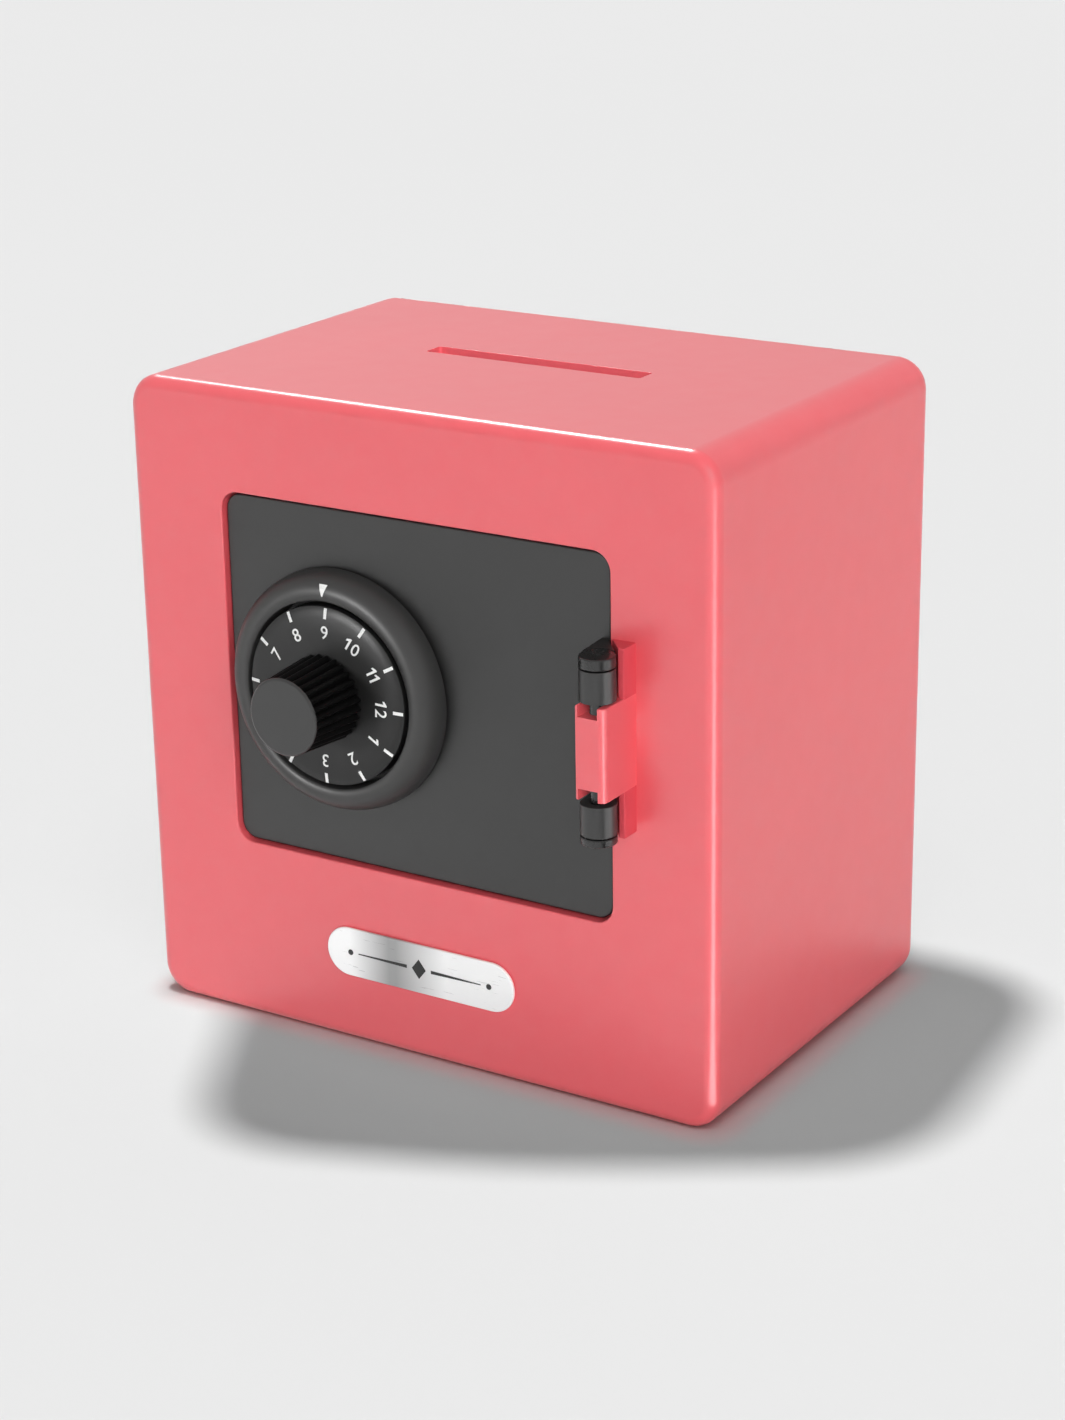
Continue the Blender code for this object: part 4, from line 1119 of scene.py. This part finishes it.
def build_wheels():
    """Three wheels; each tab passes the turn to the wheel behind once it has come round."""
    top = math.pi / 2
    plans = (
        ("drive_wheel", "dial", None, top),
        ("tumbler_wheel_middle", "tumbler_middle", top, -top),
        ("tumbler_wheel_rear", "tumbler_rear", -top, None),
    )
    for number, (name, body, driven, drives) in enumerate(plans):
        front = WHEEL_FRONT + number * WHEEL_PITCH
        tabs = []
        if driven is not None:
            tabs.append((driven - TAB_LEAD, front - TAB_LENGTH, front + MM))
        if drives is not None:
            tabs.append((drives + TAB_LEAD, front + MM, front + WHEEL_THICKNESS + TAB_LENGTH))
        piece(f"{name}_stamped", wheel_mesh(front, tabs), BRASS, body, "wheel_brass", name)


def build_housing():
    """A cup over the wheels with three screw ears, slotted for the keeper's fingers."""
    low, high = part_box("lock_housing")
    front = low.y
    rear = high.y
    floor = rear - HOUSING_FLOOR
    profile = [(HOUSING_RADIUS, front), (HOUSING_RADIUS, rear - HOUSING_EDGE)]
    profile += [(HOUSING_RADIUS - HOUSING_EDGE, rear), (RUNNING_BORE, rear), (RUNNING_BORE, floor)]
    profile += [(HOUSING_BORE, floor), (HOUSING_BORE, front)]
    cup = lathe(profile, DIAL_CENTRE, loop=True)
    slot = box_mesh(
        (DIAL_X - HOUSING_RADIUS - MM, front - MM, DIAL_Z - HOUSING_SLOT_HALF),
        (DIAL_X - NOTCH_BOTTOM, rear + MM, DIAL_Z + HOUSING_SLOT_HALF),
    )
    meshes = [carve(cup, slot)]
    for angle in (0, 120, 240):
        ear = arc((EAR_REACH, 0), EAR_RADIUS, -math.pi / 2, math.pi / 2, 20)
        ear += [(EAR_ROOT, EAR_RADIUS), (EAR_ROOT, -EAR_RADIUS)]
        hole = circle(SCREW_CLEARANCE, (EAR_REACH, 0), 32)
        meshes.append(about_dial(plate([ear, hole], *EAR_DEPTHS, 0.2 * MM), math.radians(angle)))
    piece("lock_housing_moulded", merged(*meshes), BLACK, "door", "black_plastic", "lock_housing")


def build_keeper():
    """The fixed comb whose fingers stand in front of the wheels."""
    low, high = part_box("lock_keeper")
    middle = (KEEPER_BOLT_X, DIAL_Z)
    outline = rounded_rectangle(KEEPER_BASE_WIDTH, high.z - low.z, 1.0 * MM, 5, middle)
    centres = [(KEEPER_BOLT_X, DIAL_Z + side * KEEPER_BOLT_Z) for side in (-1, 1)]
    holes = [circle(SCREW_CLEARANCE, centre, 32) for centre in centres]
    meshes = [plate([outline] + holes, *KEEPER_BASE, 0.25 * MM)]
    bottom = DIAL_Z - KEEPER_HALF
    top = DIAL_Z + KEEPER_HALF
    meshes.append(rounded_box((KEEPER_BOLT_X, low.y, bottom), (FINGER_ROOT, high.y, top), 0.25 * MM))
    for number in range(FINGERS):
        front = low.y + number * WHEEL_PITCH
        rear = front + FINGER_THICKNESS
        meshes.append(rounded_box((FINGER_ROOT - MM, front, bottom), (high.x, rear, top), 0.2 * MM))
    piece("lock_keeper_moulded", merged(*meshes), BLACK, "bank", "black_plastic", "lock_keeper")


def build_shaft():
    low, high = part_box("spindle")
    profile = [(SPINDLE_BORE, high.y), (SPINDLE_RADIUS, high.y)]
    profile += [(SPINDLE_RADIUS, low.y), (SPINDLE_BORE, low.y)]
    mesh = lathe(soften(profile, 0.25 * MM), DIAL_CENTRE, count=64)
    piece("spindle_turned", mesh, STEEL, "dial", "screw_steel", "spindle")
    for name, material, slot, bore in (
        ("drag_ring", FELT, "drag_felt", RUNNING_BORE),
        ("spindle_washer", STEEL, "screw_steel", SCREW_CLEARANCE),
    ):
        low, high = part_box(name)
        radius = (high.x - low.x) / 2
        loops = [circle(radius, DIAL_CENTRE, 96), circle(bore, DIAL_CENTRE, 48)]
        piece(f"{name}_cut", plate(loops, low.y, high.y, 0.12 * MM), material, "dial", slot, name)


# ---- stage

def restrict(light, receivers, blockers):
    """Let a light fall only on some objects, and be stopped only by some."""
    for use, items in (("receiver", receivers), ("blocker", blockers)):
        group = bpy.data.collections.new(f"{light.name}_{use}s")
        for item in items:
            group.objects.link(item)
        setattr(light.light_linking, f"{use}_collection", group)


def hide(item, *rays):
    """Hide an item from these kinds of ray."""
    for ray in rays:
        setattr(item, f"visible_{ray}", False)


def aimed(name, kind, strength, direction):
    """A light that shines against `direction`, and its data."""
    light = bpy.data.lights.new(name, kind)
    light.energy = strength
    item = bpy.data.objects.new(name, light)
    item.rotation_euler = (-Vector(direction)).to_track_quat("-Z", "Y").to_euler()
    bpy.context.scene.collection.objects.link(item)
    return item, light


def softbox(name, direction, size, strength):
    """A square area light aimed at the dial that shows only in reflections."""
    item, light = aimed(name, "AREA", strength, direction)
    light.size = size
    item.location = Vector((DIAL_X, FRONT_Y, DIAL_Z)) + Vector(direction).normalized() * SOFTBOX_DISTANCE
    hide(item, "camera", "diffuse")
    return item


def sun(name, direction, strength, spread, glossy_only=False):
    item, light = aimed(name, "SUN", strength, direction)
    light.angle = math.radians(spread)
    hide(item, "diffuse" if glossy_only else "glossy")
    return item


def build_floor():
    """A matt floor that glows only in reflections, most of all far to the front left."""
    mesh = bmesh.new()
    bmesh.ops.create_grid(mesh, x_segments=2, y_segments=2, size=FLOOR_SIZE)
    floor = wrap("studio_floor", mesh)
    graph = Graph("studio_floor")
    place = graph.place()
    soft = graph.noise(place, 0.6)
    dark, light = ((grey, grey, grey, 1) for grey in FLOOR_GREYS)
    graph.set("Base Color", graph.mix(graph.span(soft, 0.0, 1.0), dark, light))
    graph.set("Roughness", 0.9)
    graph.set("Specular IOR Level", 0.0)
    path = graph.add("LightPath")
    axes = graph.add("SeparateXYZ", Vector=place)
    diagonal = graph.maths("ADD", axes.outputs["X"], axes.outputs["Y"])
    shine = graph.span(diagonal, *FLOOR_SHINE, -60 * MM, 40 * MM)
    graph.glow(graph.times(path.outputs["Is Glossy Ray"], shine))
    floor.data.materials.append(graph.material)
    floor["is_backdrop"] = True


def build_world():
    """Soft white surroundings that look brighter in reflections than they light."""
    world = bpy.data.worlds.new("studio")
    world.use_nodes = True
    tree = world.node_tree
    background = tree.nodes["Background"]
    background.inputs["Color"].default_value = (1.0, 1.0, 1.0, 1)
    path = tree.nodes.new("ShaderNodeLightPath")
    ramp = tree.nodes.new("ShaderNodeMapRange")
    ramp.inputs["To Min"].default_value = WORLD_LIGHT
    ramp.inputs["To Max"].default_value = WORLD_SHINE
    tree.links.new(path.outputs["Is Glossy Ray"], ramp.inputs["Value"])
    tree.links.new(ramp.outputs["Result"], background.inputs["Strength"])
    world.cycles.sampling_method = "NONE"
    bpy.context.scene.world = world


def unseen_card(name, points, *rays):
    """A flat card that neither the camera nor these kinds of ray can see."""
    mesh = bmesh.new()
    mesh.faces.new([mesh.verts.new(point) for point in points])
    card = wrap(name, mesh)
    hide(card, "camera", "diffuse", "transmission", *rays)
    card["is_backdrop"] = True
    return card


def shade_card():
    """A card over the floor in front and to the right, which shapes the soft shadow."""
    plan = soften([(x * MM, y * MM) for x, y in SHADE_PLAN], SHADE_ROUND, 8)
    return unseen_card("shade_card", [(x, y, SHADE_HEIGHT) for x, y in plan], "glossy")


def corner_card():
    """A glowing card that widens away from the front right corner, to light that edge."""
    start = Vector((HALF_WIDTH, FRONT_Y, 1.5 * MM))
    way = Vector((0.843, -0.537, 0))
    across = Vector((0.537, 0.843, 0))
    near = start + way * 6 * MM
    distant = start + way * 420 * MM
    narrow = across * 6 * MM
    wide = across * 100 * MM
    points = [near - narrow, distant - wide, distant + wide, near + narrow]
    card = unseen_card("corner_card", points, "shadow")
    graph = Graph("corner_card")
    graph.set("Base Color", (0, 0, 0, 1))
    graph.glow(CORNER_GLOW)
    card.data.materials.append(graph.material)
    return card


def build_lights():
    """Each light is kept to the pieces that it is meant for, and sampled the same way in every run."""
    bpy.context.scene.cycles.use_light_tree = False
    build_world()
    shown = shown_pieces()
    found = bpy.data.objects
    floor = found["studio_floor"]
    shell = found["body_shell_moulded"]
    lug = found["body_shell_hinge_lug"]
    dial = [found["dial_bezel_moulded"], found["dial_disc_moulded"]]
    hinge = [found[name] for name in ("door_moulded", "hinge_pin_upper_turned", "hinge_pin_lower_turned")]
    restrict(sun("key", *KEY), shown, shown)
    restrict(sun("fill", *FILL), shown, shown)
    restrict(sun("slot_fill", *SLOT_FILL), shown, [item for item in shown if item != shell])
    restrict(sun("overhead", *OVERHEAD), [floor], shown + [shade_card()])
    restrict(sun("floor_fill", *FLOOR_FILL), [floor], shown)
    restrict(sun("edge", *EDGE_SHINE, glossy_only=True), [shell, lug], shown)
    restrict(softbox("front_left", *DIAL_SOFTBOX), dial, shown)
    restrict(corner_card(), [shell, lug], shown)
    restrict(sun("hinge_glint", *HINGE_SHINE, glossy_only=True), hinge, shown)


def build_camera():
    """A long lens from the front right, a little above the bank."""
    azimuth = math.radians(32.527)
    elevation = math.radians(19.491)
    roll = math.radians(-0.98)
    distance = 562.15 * MM
    target = Vector((-0.92 * MM, 0, 54.48 * MM))
    level = Vector((math.sin(azimuth), -math.cos(azimuth), 0))
    back = level * math.cos(elevation) + Vector((0, 0, math.sin(elevation)))
    right = (-back).cross(Vector((0, 0, 1))).normalized()
    up = right.cross(-back)
    tilted_right = right * math.cos(roll) + up * math.sin(roll)
    tilted_up = up * math.cos(roll) - right * math.sin(roll)
    rotation = Matrix((tilted_right, tilted_up, back)).transposed()
    data = bpy.data.cameras.new("camera")
    data.sensor_fit = "VERTICAL"
    data.sensor_height = 36
    data.lens = 76.79
    data.clip_start = 10 * MM
    camera = bpy.data.objects.new("camera", data)
    camera.matrix_world = Matrix.Translation(target + back * distance) @ rotation.to_4x4()
    bpy.context.scene.collection.objects.link(camera)
    bpy.context.scene.camera = camera


build_shell()
build_rear_cover()
build_screws()
build_name_plate()
build_door()
build_hinge_pins()
build_bezel()
build_disc()
build_knob()
build_wheels()
build_housing()
build_keeper()
build_shaft()
build_floor()
build_lights()
build_camera()
bpy.context.scene.view_settings.view_transform = "Standard"
